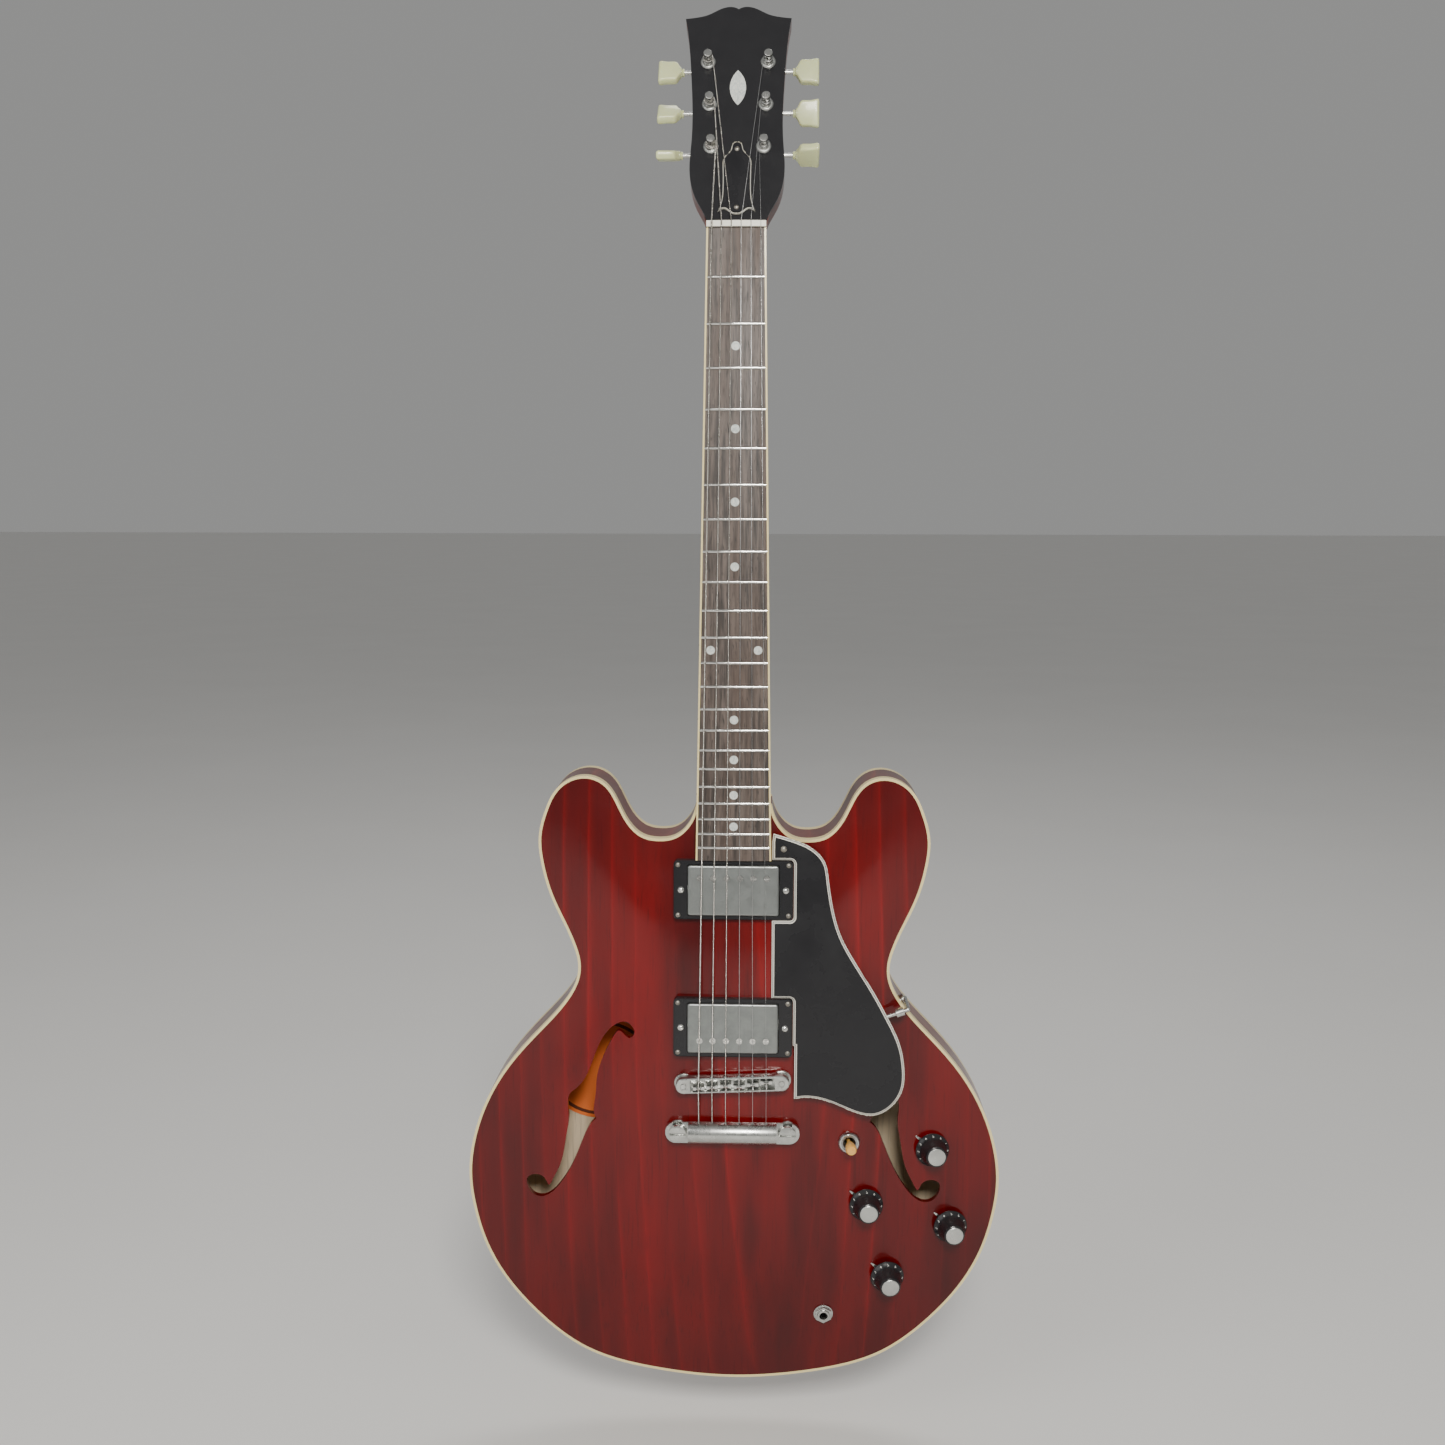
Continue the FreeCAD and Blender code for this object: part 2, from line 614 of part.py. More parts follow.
NECK_PICKUP = pickup_frame(BOARD_END_S - NECK_PICKUP_GAP)
BRIDGE_PICKUP = pickup_frame(BRIDGE_S + BRIDGE_PICKUP_GAP)

# Frame of the bridge: on the glue plane's normal at the bridge line, but square to the body.
BRIDGE_LINE = BODY.inverse().multVec(NECK.multVec(V(0, BRIDGE_S, STRING_LIFT_BRIDGE)))
BRIDGE_FRAME = BODY.multiply(FreeCAD.Placement(V(0, BRIDGE_LINE.y, 0),
                                               FreeCAD.Rotation(V(0, 0, 1), BRIDGE_SLANT)))
STRING_TOP_T = BRIDGE_LINE.z
POST_SPOTS = [BODY.inverse().multVec(BRIDGE_FRAME.multVec(V(side * POST_X, 0, 0))) for side in (-1, 1)]
POST_SEAT_T = max(top_height(spot.x, spot.y) for spot in POST_SPOTS)
WHEEL_T = POST_SEAT_T + WHEEL_RISE
BRIDGE_T = WHEEL_T + WHEEL_HEIGHT + GLUE
SADDLE_AXIS_T = BRIDGE_T + BRIDGE_HEIGHT - SADDLE_SCREW_DROP
TAIL_LINE_S = BRIDGE_LINE.y - TAIL_BEHIND
STUD_SEAT_T = top_height(STUD_X, TAIL_LINE_S)
TAIL_T = STUD_SEAT_T + TAIL_LIFT
STRING_HOLE_T = TAIL_T + TAIL_HEIGHT * 0.45

# ---- neck, head and fingerboard ----


def neck_section(s, half, depth, boxiness=0.86):
    """Flat-topped D section of the neck across s; a lower boxiness gives squarer shoulders."""
    lower = []
    steps = 12
    for index in range(steps + 1):
        angle = math.pi * index / steps
        x = half * math.copysign(abs(math.cos(angle)) ** boxiness, math.cos(angle))
        lower.append((x, s, -depth * math.sin(angle) ** boxiness))
    arc = spline(lower)
    return Part.Wire([arc, Part.makeLine(V(*lower[-1]), V(*lower[0]))])


def tenon(gap):
    """Tongue of the neck inside the body; gap widens it into its pocket."""
    half_start = board_half(JOINT_S) - 0.6
    half_end = board_half(BOARD_END_S) - 0.6
    top = 0 if gap == 0 else 20
    start = JOINT_S + 2 + gap
    end = BOARD_END_S - gap
    corners = [V(-half_start - gap, start, top), V(half_start + gap, start, top),
               V(half_end + gap, end, top), V(-half_end - gap, end, top)]
    block = Part.Face(Part.makePolygon(corners + [corners[0]]))
    block = block.extrude(V(0, 0, -TENON_DEPTH - gap - top))
    return placed(block, NECK)


def head_profile():
    lower = spline([(x, s, 0) for x, s in HEAD_OUTLINE])
    top = spline([(x, s, 0) for x, s in HEAD_TOP])
    other_top = spline([(x, s, 0) for x, s in mirrored(HEAD_TOP)])
    other_lower = spline([(x, s, 0) for x, s in mirrored(HEAD_OUTLINE)])
    foot = HEAD_OUTLINE[0][0]
    base = Part.makeLine(V(-foot, 0, 0), V(foot, 0, 0))
    return Part.Wire([lower, top, other_top, other_lower, base])


def head_post_places():
    """Bass side from the nut up, then the treble side from the nut up."""
    return [(side * x, height) for side in (-1, 1) for x, height in POST_PLACES]


def neck():
    sections = [(NUT_LENGTH + 0.2, NECK_DEPTH_NUT), (JOINT_S + HEEL_START, NECK_DEPTH_HEEL)]
    grip = Part.makeLoft([neck_section(s, board_half(min(s, 0)), depth) for s, depth in sections], True, True)
    heel = []
    for step in range(7):
        share = step / 6.0
        s = JOINT_S + HEEL_START - share * (HEEL_START + 8)
        heel.append(neck_section(s, board_half(s), NECK_DEPTH_HEEL + HEEL_DROP * share ** 1.7))
    heel = Part.makeLoft(heel, True, False)
    shaft = placed(grip.fuse(heel), NECK)
    behind_joint = placed(box(-60, 60, JOINT_Z - 40, JOINT_Z + GLUE, -90, 60), BODY)
    behind_back = placed(box(-60, 60, JOINT_Z - 60, JOINT_Z + 80, BACK_T - 60, BACK_T), BODY)
    shaft = shaft.cut([behind_joint, behind_back])
    head = prism(head_profile(), -HEAD_THICKNESS)
    head = placed(head, HEAD)
    into_head = NECK.inverse().multiply(HEAD)
    blend_end = neck_section(0, 30.0, HEAD_THICKNESS - 0.2, 0.5)
    blend_end.transformShape(into_head.multiply(
        FreeCAD.Placement(V(0, 24, -0.1), FreeCAD.Rotation())).toMatrix())
    blend_middle = neck_section(0, 23.6, NECK_DEPTH_NUT + 0.4, 0.7)
    blend_middle.transformShape(into_head.multiply(
        FreeCAD.Placement(V(0, 6, -0.6), FreeCAD.Rotation(V(1, 0, 0), HEAD_PITCH / 2))).toMatrix())
    blend_start = neck_section(-14, board_half(-14), NECK_DEPTH_NUT + 0.1)
    blend = placed(Part.makeLoft([blend_start, blend_middle, blend_end], True, False), NECK)
    whole = shaft.fuse(tenon(0)).fuse(head).fuse(blend)
    slot = ROD_RADIUS + ROD_FIT
    bore = Part.makeCylinder(slot, ROD_NUT_START + 5, V(0, -5, -ROD_SINK), V(0, 1, 0))
    pocket = box(-POCKET_HALF, POCKET_HALF, POCKET_LOW, POCKET_HIGH, -POCKET_FLOOR, 5)
    cuts = [placed(box(-slot, slot, JOINT_S - 4, 0, -ROD_SINK - slot, 1), NECK),
            placed(bore, NECK),
            placed(pocket, HEAD),
            placed(cylinder(STRAP_SCREW, 0, JOINT_Z + HEEL_BUTTON_RISE, BACK_T - 5,
                            BACK_T + STRAP_SCREW_LENGTH + 1), BODY)]
    for x, height in head_post_places():
        cuts.append(placed(cylinder(BUSHING_RADIUS, x, height, -HEAD_THICKNESS - 5, 5), HEAD))
    for x, height in housing_screw_places():
        cuts.append(placed(cylinder(HOUSING_SHANK + GLUE, x, height, -HEAD_THICKNESS - 5,
                                    -HEAD_THICKNESS + HOUSING_SCREW_BITE + 1), HEAD))
    for height in BELL_SCREWS:
        cuts.append(placed(cylinder(BELL_SHANK + GLUE, 0, height, -BELL_SCREW_LENGTH, 1), HEAD))
    return whole.cut(cuts)


def headstock_veneer():
    plate = prism(head_profile(), VENEER - GLUE)
    plate.translate(V(0, 0, GLUE))
    cuts = [box(-POCKET_HALF, POCKET_HALF, POCKET_LOW, POCKET_HIGH, -1, 5), head_inlay(0.02)]
    for x, height in head_post_places():
        cuts.append(cylinder(BUSHING_RADIUS, x, height, -5, 5))
    for height in BELL_SCREWS:
        cuts.append(cylinder(BELL_SHANK + GLUE, 0, height, -5, 5))
    return placed(plate.cut(cuts), HEAD)


def head_inlay(gap):
    """Plain pointed oval let into the face of the headstock."""
    tip = 14.5 + gap
    half = 6.0 + gap
    centre = 108.5
    right = Part.Arc(V(0, centre + tip, 0), V(half, centre, 0), V(0, centre - tip, 0)).toShape()
    left = Part.Arc(V(0, centre - tip, 0), V(-half, centre, 0), V(0, centre + tip, 0)).toShape()
    leaf = prism(Part.Wire([right, left]), VENEER + gap * 20)
    leaf.translate(V(0, 0, GLUE * 2 - gap * 5))
    return leaf


def crown_cylinder(height):
    """Cylinder whose surface is the crowned fingerboard raised by height."""
    radius = BOARD_RADIUS + height
    start = BOARD_END_S - 5
    return Part.makeCylinder(radius, -start + 10, V(0, start, BOARD_THICKNESS - BOARD_RADIUS), V(0, 1, 0))


def board_prism(inset, t0, t1):
    start = board_half(0) - inset
    end = board_half(BOARD_END_S) - inset
    corners = [V(-start, 0, t0), V(start, 0, t0), V(end, BOARD_END_S, t0), V(-end, BOARD_END_S, t0)]
    face = Part.Face(Part.makePolygon(corners + [corners[0]]))
    return face.extrude(V(0, 0, t1 - t0))


def dot_places():
    middle = {number: (fret_place(number) + fret_place(number - 1)) / 2
              for number in SINGLE_DOTS + (DOUBLE_DOT,)}
    places = [(0, middle[number]) for number in SINGLE_DOTS]
    places += [(side * DOUBLE_DOT_OFFSET, middle[DOUBLE_DOT]) for side in (-1, 1)]
    return places


def board_dots(gap):
    floor = BOARD_THICKNESS - DOT_DEPTH - gap
    return [cylinder(DOT_RADIUS + gap, x, s, floor, BOARD_THICKNESS + 1) for x, s in dot_places()]


def fret_slots(gap):
    slots = []
    for number in range(1, FRET_COUNT + 1):
        s = fret_place(number)
        half = board_half(s) - BOARD_BINDING - GLUE
        slot = box(-half - gap, half + gap, s - TANG_WIDTH / 2 - gap, s + TANG_WIDTH / 2 + gap,
                   BOARD_THICKNESS - TANG_DEPTH - gap - 1.2, BOARD_THICKNESS + 1)
        slots.append(slot)
    return slots


def fingerboard():
    wood = board_prism(BOARD_BINDING + GLUE, GLUE, BOARD_THICKNESS + 1)
    wood = wood.common(crown_cylinder(0))
    return placed(wood.cut(fret_slots(0.02) + board_dots(0.02)), NECK)


def fingerboard_binding():
    strip = board_prism(0, GLUE, BOARD_THICKNESS + 1)
    strip = strip.common(crown_cylinder(0))
    return placed(strip.cut(board_prism(BOARD_BINDING, 0, BOARD_THICKNESS + 2)), NECK)


def frets():
    pieces = []
    centre_t = BOARD_THICKNESS - BOARD_RADIUS
    for number, slot in zip(range(1, FRET_COUNT + 1), fret_slots(0)):
        s = fret_place(number)
        half = board_half(s) - BOARD_BINDING - GLUE
        low = BOARD_RADIUS + GLUE / 2
        arc = Part.Arc(V(0, s - FRET_WIDTH / 2, centre_t + low),
                       V(0, s, centre_t + low + FRET_HEIGHT),
                       V(0, s + FRET_WIDTH / 2, centre_t + low)).toShape()
        base = Part.makeLine(V(0, s + FRET_WIDTH / 2, centre_t + low),
                             V(0, s - FRET_WIDTH / 2, centre_t + low))
        bead = Part.Face(Part.Wire([arc, base]))
        sweep = math.degrees(half / BOARD_RADIUS)
        bead.rotate(V(0, 0, centre_t), V(0, 1, 0), -sweep)
        crown = bead.revolve(V(0, 0, centre_t), V(0, 1, 0), 2 * sweep)
        tang = slot.common(crown_cylinder(FRET_HEIGHT / 3))
        pieces.append(joined([crown, tang]))
    return placed(group(pieces), NECK)


def pearl_inlays():
    dots = [dot.common(crown_cylinder(0)) for dot in board_dots(0)]
    leaf = placed(head_inlay(0), HEAD)
    return group([placed(group(dots), NECK), leaf])


def nut():
    height = STRING_LIFT_NUT + 0.6
    blank = box(-NUT_WIDTH / 2, NUT_WIDTH / 2, GLUE, NUT_LENGTH, GLUE, height)
    roof = Part.makeCylinder(BOARD_RADIUS, 20, V(0, -5, height - BOARD_RADIUS), V(0, 1, 0))
    blank = blank.common(roof)
    slots = []
    for number, diameter in enumerate(STRING_DIAMETERS):
        radius = diameter / 2 + NOTCH_FIT
        x = string_x(number, 0)
        t = string_t(number, 0)
        slots.append(Part.makeCylinder(radius, 12, V(x, -3, t), V(0, 1, 0)))
        slots.append(box(x - radius, x + radius, -3, 9, t, t + 5))
    return placed(blank.cut(slots), NECK)


def truss_rod():
    start = ROD_NUT_START
    bar = Part.makeCylinder(ROD_RADIUS, -JOINT_S + start + ROD_NUT_LENGTH / 2, V(0, JOINT_S, -ROD_SINK),
                            V(0, 1, 0))
    corners = []
    for index in range(7):
        angle = math.radians(60 * index)
        corners.append(V(ROD_NUT_RADIUS * math.cos(angle), start,
                         -ROD_SINK + ROD_NUT_RADIUS * math.sin(angle)))
    hexagon = Part.Face(Part.makePolygon(corners)).extrude(V(0, ROD_NUT_LENGTH, 0))
    hexagon = hexagon.cut(Part.makeCylinder(ROD_RADIUS + 0.02, 60, V(0, 0, -ROD_SINK), V(0, 1, 0)))
    return placed(group([bar, hexagon]), NECK)


def truss_rod_cover():
    right = spline([(x, s, 0) for x, s in BELL_OUTLINE[:7]])
    right_foot = spline([(x, s, 0) for x, s in BELL_OUTLINE[6:]])
    left_foot = spline([(-x, s, 0) for x, s in reversed(BELL_OUTLINE[6:])])
    left = spline([(-x, s, 0) for x, s in reversed(BELL_OUTLINE[:7])])
    plate = prism(Part.Wire([right, right_foot, left_foot, left]), COVER_THICKNESS)
    plate.translate(V(0, 0, VENEER + GLUE))
    holes = [cylinder(1.3, 0, s, -5, 15) for s in BELL_SCREWS]
    return placed(plate.cut(holes), HEAD)


# ---- body pieces ----


def sound_hole():
    runs = [spline([(x, TAIL_S + height, FRONT_T - 30) for x, height in run]) for run in F_HOLE]
    return Part.Face(Part.Wire(runs)).extrude(V(0, 0, 80))


def control_holes():
    """Drillings through the top for the pots, the switch and the jack."""
    holes = []
    spots = [(POT_BUSH, frame) for frame in KNOB_SEATS]
    spots += [(SWITCH_BUSH, SWITCH_SEAT), (JACK_SLEEVE, JACK_SEAT)]
    for radius, frame in spots:
        drill = cylinder(radius + CONTROL_FIT, 0, 0, -PLATE - CONTROL_DRILL, CONTROL_DRILL)
        holes.append(placed(drill, frame))
    return holes


def pickup_window(frame, depth):
    """Opening for a pickup: the cover's well, and a leg well at each end."""
    well = rounded_box(COVER_LENGTH + 2 * WELL_GAP[0], COVER_WIDTH + 2 * WELL_GAP[1], -depth, PAST,
                       WELL_CORNER)
    legs = rounded_box(2 * (HEIGHT_SCREW_X + EAR_END + WELL_EAR_GAP[0]), EAR_WIDTH + 2 * WELL_EAR_GAP[1],
                       -depth, PAST, WELL_CORNER)
    return placed(joined([well, legs]), BODY.inverse().multiply(frame))


def stud_holes(radius, depth):
    spots = [V(side * STUD_X, TAIL_LINE_S, 0) for side in (-1, 1)]
    return [cylinder(radius, spot.x, spot.y, STUD_SEAT_T - depth, STUD_SEAT_T + 20) for spot in spots]


def post_holes(radius, depth):
    return [cylinder(radius, spot.x, spot.y, POST_SEAT_T - depth, POST_SEAT_T + 20) for spot in POST_SPOTS]


def neck_pocket():
    return placed(tenon(GLUE), BODY.inverse())


def screw_holes():
    """Pilot holes in the top and the block for the ring screws and the guard's screw."""
    to_body = BODY.inverse()
    holes = []
    for frame in (NECK_PICKUP, BRIDGE_PICKUP):
        for x, s in ring_screw_spots():
            holes.append(placed(cylinder(RING_SHANK + GLUE, x, s, -25, 5), to_body.multiply(frame)))
    guard = cylinder(GUARD_SHANK + GLUE, GUARD_SCREW[0], GUARD_SCREW[1], -8, 12)
    holes.append(placed(guard, to_body.multiply(NECK)))
    return holes


def body_top():
    plate = below_top(0, PLATE).common(outline_prism(BINDING_WIDTH + GLUE, FRONT_T - 12, FRONT_T + 30))
    hole = sound_hole()
    cuts = [hole, hole.mirror(V(0, 0, 0), V(1, 0, 0)), neck_pocket()]
    cuts += [pickup_window(NECK_PICKUP, WELL_DEPTH), pickup_window(BRIDGE_PICKUP, WELL_DEPTH)]
    cuts += control_holes()
    cuts += stud_holes(STUD_BUSH + GLUE, 40)
    cuts += post_holes(POST_RADIUS + GLUE, 40)
    cuts += screw_holes()
    return placed(plate.cut(cuts), BODY)


def body_back():
    plate = above_back(0, PLATE).common(outline_prism(BINDING_WIDTH + GLUE, BACK_T - 30, BACK_T + 12))
    return placed(plate, BODY)


def body_rim():
    """Bent side of the body, with a ledge at each edge that the binding sits on."""
    front = FRONT_T - PLATE - GLUE
    back = BACK_T + PLATE + GLUE
    ledge = BINDING_HEIGHT - PLATE
    wall = outline_ring(0, RIM_THICKNESS, back + ledge, front - ledge)
    for low, high in ((front - ledge, front), (back, back + ledge)):
        wall = wall.fuse(outline_ring(BINDING_WIDTH + GLUE, RIM_THICKNESS, low, high))
    strap_hole = Part.makeCylinder(STRAP_SCREW, 30, V(0, TAIL_S - 5, STRAP_T), V(0, 1, 0))
    return placed(wall.cut([neck_pocket(), strap_hole]), BODY)


def body_binding():
    bands = []
    for low in (FRONT_T - BINDING_HEIGHT + GLUE, BACK_T):
        bands.append(outline_ring(0, BINDING_WIDTH, low, low + BINDING_HEIGHT - GLUE))
    bands[0] = bands[0].cut(neck_pocket())
    return placed(group(bands), BODY)


def linings():
    strips = []
    front = FRONT_T - PLATE - GLUE
    back = BACK_T + PLATE + GLUE
    middle = box(-BLOCK_WIDTH / 2 - GLUE, BLOCK_WIDTH / 2 + GLUE, TAIL_S - 10, HORN_S + 10, -60, 60)
    for low, high in ((front - LINING_HEIGHT, front), (back, back + LINING_HEIGHT)):
        ring = outline_ring(RIM_THICKNESS + GLUE, RIM_THICKNESS + LINING_WIDTH, low, high)
        strips.append(ring.cut(middle))
    return placed(group(strips), BODY)


def center_block():
    half = BLOCK_WIDTH / 2
    block = outline_prism(RIM_THICKNESS + GLUE, BACK_T - 20, FRONT_T + 20)
    block = block.common(box(-half, half, TAIL_S - 5, HORN_S, BACK_T - 30, FRONT_T + 30))
    block = block.common(below_top(PLATE + GLUE, 90))
    block = block.common(above_back(PLATE + GLUE, 90))
    cuts = [neck_pocket(), pickup_window(NECK_PICKUP, WELL_DEPTH), pickup_window(BRIDGE_PICKUP, WELL_DEPTH)]
    cuts += stud_holes(STUD_BUSH + GLUE, 26)
    cuts += post_holes(POST_RADIUS + GLUE, 22)
    cuts += screw_holes()
    cuts.append(Part.makeCylinder(STRAP_SCREW, 40, V(0, TAIL_S - 5, STRAP_T), V(0, 1, 0)))
    return placed(block.cut(cuts), BODY)


# ---- pickups ----


def ring_screw_spots():
    return [(side_x * RING_SCREW_X, side_s * RING_SCREW_S) for side_x in (-1, 1) for side_s in (-1, 1)]


def pickup_ring(frame):
    foot = -2 * COVER_HEIGHT
    under = -RING_DROP - RING_PLATE
    outer = rounded_box(RING_LENGTH, RING_WIDTH, foot, -RING_DROP, RING_CORNER)
    outer = outer.makeChamfer(RING_CHAMFER, edges_over(outer, -RING_DROP))
    window = rounded_box(COVER_LENGTH + 2 * MOVING, COVER_WIDTH + 2 * MOVING, foot - PAST, PAST, COVER_EDGE)
    hollow = rounded_box(RING_LENGTH - 2 * RING_END_WALL, RING_WIDTH - 2 * RING_SIDE_WALL, foot - PAST,
                         under, WELL_CORNER)
    legs = rounded_box(2 * (HEIGHT_SCREW_X + EAR_END + RING_EAR_GAP[0]), EAR_WIDTH + 2 * RING_EAR_GAP[1],
                       foot - PAST, under, WELL_CORNER)
    cuts = [window, hollow, legs]
    for side in (-1, 1):
        cuts.append(cylinder(HEIGHT_HOLE, side * HEIGHT_SCREW_X, 0, foot - PAST, PAST))
    for x, s in ring_screw_spots():
        cuts.append(cylinder(RING_SHANK + SCREW_FIT, x, s, foot - PAST, PAST))
    ring = placed(outer.cut(cuts), frame)
    return ring.common(placed(AIR, BODY))


def pole_side(frame_is_neck):
    return POLE_OFFSET if frame_is_neck else -POLE_OFFSET


def pole_places():
    return [(index - 2.5) * POLE_PITCH for index in range(6)]


def pickup_cover(frame, neck_side):
    shell = rounded_box(COVER_LENGTH, COVER_WIDTH, -COVER_HEIGHT, 0, COVER_EDGE)
    shell = shell.makeFillet(COVER_ROUND, edges_over(shell, 0))
    inner = rounded_box(COVER_LENGTH - 2 * COVER_WALL, COVER_WIDTH - 2 * COVER_WALL,
                        -COVER_HEIGHT - PAST, -COVER_WALL, COVER_EDGE - COVER_WALL)
    cuts = [inner]
    for x in pole_places():
        cuts.append(cylinder(POLE_RADIUS + POLE_FIT, x, pole_side(neck_side), -COVER_EDGE, PAST))
    cuts.append(box(-COVER_LENGTH, COVER_LENGTH, -EAR_WIDTH / 2 - GLUE, EAR_WIDTH / 2 + GLUE,
                    -COVER_HEIGHT - PAST, BASE_PLATE_T))
    return placed(shell.cut(cuts), frame)


def pickup_coils(frame, neck_side):
    """Two bobbins on a base plate with a bar magnet between them, and six pole screws."""
    top = -COVER_WALL - BOBBIN_TOP
    floor = BASE_PLATE_T
    low = floor - BASE_PLATE
    flange = BOBBIN_FLANGE
    pieces = []
    for side in (-1, 1):
        s = side * POLE_OFFSET
        spool = rounded_box(BOBBIN_LENGTH, BOBBIN_WIDTH, top - flange, top, BOBBIN_CORNER, 0, s)
        core = rounded_box(BOBBIN_LENGTH - 2 * BOBBIN_CORE, BOBBIN_WIDTH - 2 * BOBBIN_CORE, floor + flange,
                           top - flange, BOBBIN_CORNER - BOBBIN_CORE / 2, 0, s)
        foot = rounded_box(BOBBIN_LENGTH, BOBBIN_WIDTH, floor, floor + flange, BOBBIN_CORNER, 0, s)
        bobbin = joined([spool, core, foot])
        if s == pole_side(neck_side):
            holes = [cylinder(POLE_SHANK + GLUE, x, s, floor - PAST, PAST) for x in pole_places()]
            heads = [cylinder(POLE_RADIUS + GLUE, x, s, top - POLE_HEAD - POLE_FIT, PAST)
                     for x in pole_places()]
            bobbin = bobbin.cut(holes + heads)
        pieces.append(bobbin)
    fit = COVER_WALL + BASE_PLATE_FIT
    plate = rounded_box(COVER_LENGTH - 2 * fit, COVER_WIDTH - 2 * fit, low, floor - GLUE, WELL_CORNER)
    ears = rounded_box(2 * (HEIGHT_SCREW_X + EAR_END), EAR_WIDTH, low, floor - GLUE, WELL_CORNER)
    plate = joined([plate, ears])
    drilled = [cylinder(POLE_SHANK + GLUE, x, pole_side(neck_side), low - PAST, PAST)
               for x in pole_places()]
    drilled += [cylinder(HEIGHT_HOLE, side * HEIGHT_SCREW_X, 0, low - PAST, PAST) for side in (-1, 1)]
    pieces.append(plate.cut(drilled))
    for x in pole_places():
        s = pole_side(neck_side)
        head = cylinder(POLE_RADIUS, x, s, top - POLE_HEAD, POLE_RISE)
        slot = box(x - PAST, x + PAST, s - POLE_SLOT, s + POLE_SLOT, -POLE_RISE, PAST)
        shank = cylinder(POLE_SHANK, x, s, floor - POLE_TAIL, top)
        pieces.append(joined([head.cut(slot), shank]))
    return placed(group(pieces), frame)


def pickup_rings():
    return group([pickup_ring(NECK_PICKUP), pickup_ring(BRIDGE_PICKUP)])


def slotted_screw(head_radius, head_height, shank_radius, length, slot=True):
    """Dome-headed screw along z, the underside of its head at 0."""
    radius = (head_radius ** 2 + head_height ** 2) / (2 * head_height)
    dome = Part.makeSphere(radius, V(0, 0, head_height - radius))
    head = dome.common(cylinder(head_radius, 0, 0, 0, head_height + 1))
    if slot:
        head = head.cut(box(-head_radius, head_radius, -0.3, 0.3, head_height * 0.45, head_height + 1))
    return joined([head, cylinder(shank_radius, 0, 0, -length, head_height * 0.3)])


def at(x, s, t, turn=0):
    return FreeCAD.Placement(V(x, s, t), FreeCAD.Rotation(V(0, 0, 1), turn))


def machine_screws():
    """Height screws of both pickups and intonation screws of the six saddles."""
    pieces = []
    height = slotted_screw(2.6, 1.4, 1.4, COVER_HEIGHT + 6)
    for frame in (NECK_PICKUP, BRIDGE_PICKUP):
        for side in (-1, 1):
            place = at(side * HEIGHT_SCREW_X, 0, -RING_DROP + GLUE, 20 * side)
            pieces.append(placed(height, frame.multiply(place)))
    wall = BRIDGE_WIDTH / 2
    travel = slotted_screw(1.7, 1.0, SADDLE_SCREW, BRIDGE_WIDTH - 0.4)
    along = FreeCAD.Rotation(V(1, 0, 0), -90)
    for number in range(6):
        place = FreeCAD.Placement(V(saddle_x(number), wall + GLUE, SADDLE_AXIS_T), along)
        pieces.append(placed(travel, BRIDGE_FRAME.multiply(place)))
    return group(pieces)


def pickup_springs():
    """Coil springs that push each pickup away from its ring."""
    pieces = []
    top = -RING_DROP - RING_PLATE - SPRING_WIRE
    bottom = -COVER_HEIGHT + SPRING_RISE
    length = top - bottom - 2 * SPRING_WIRE
    for frame in (NECK_PICKUP, BRIDGE_PICKUP):
        for side in (-1, 1):
            helix = Part.makeHelix(length / SPRING_TURNS, length, SPRING_RADIUS)
            ring = Part.Wire(Part.makeCircle(SPRING_WIRE, V(SPRING_RADIUS, 0, 0), V(0, 1, 0)))
            coil = Part.Wire(helix).makePipeShell([ring], True, True)
            place = at(side * HEIGHT_SCREW_X, 0, bottom + SPRING_WIRE)
            pieces.append(placed(coil, frame.multiply(place)))
    return group(pieces)


# ---- bridge and tailpiece ----



def saddle_x(number):
    return string_x(number, BRIDGE_S)


def bridge_posts():
    pieces = []
    for spot in POST_SPOTS:
        stud = cylinder(POST_RADIUS, spot.x, spot.y, POST_SEAT_T - POST_DEPTH,
                        BRIDGE_T + BRIDGE_HEIGHT + POST_RISE)
        wheel = tube(WHEEL_RADIUS, POST_RADIUS + WHEEL_FIT, spot.x, spot.y, WHEEL_T, WHEEL_T + WHEEL_HEIGHT)
        pieces += [stud, wheel]
    return placed(group(pieces), BODY)


def bridge_body():
    low = BRIDGE_T
    high = BRIDGE_T + BRIDGE_HEIGHT
    body = rounded_box(BRIDGE_LENGTH, BRIDGE_WIDTH, low, high, BRIDGE_WIDTH / 2 - 0.1)
    body = body.makeChamfer(BRIDGE_CHAMFER, edges_over(body, high))
    channel = box(-CHANNEL_REACH, CHANNEL_REACH, -CHANNEL_HALF, CHANNEL_HALF, low + BRIDGE_FLOOR, high + 1)
    cuts = [channel]
    for side in (-1, 1):
        cuts.append(cylinder(POST_RADIUS + POST_SLACK, side * POST_X, 0, low - 1, high + 1))
    for number in range(6):
        cuts.append(Part.makeCylinder(SADDLE_SCREW + SADDLE_SCREW_FIT, BRIDGE_WIDTH + 2,
                                      V(saddle_x(number), -BRIDGE_WIDTH / 2 - 1, SADDLE_AXIS_T),
                                      V(0, 1, 0)))
    return placed(body.cut(cuts), BRIDGE_FRAME)


def saddle_top(number):
    """Height in the bridge frame of the bottom of the string over a saddle."""
    return STRING_TOP_T - saddle_x(number) ** 2 / (2 * BOARD_RADIUS)


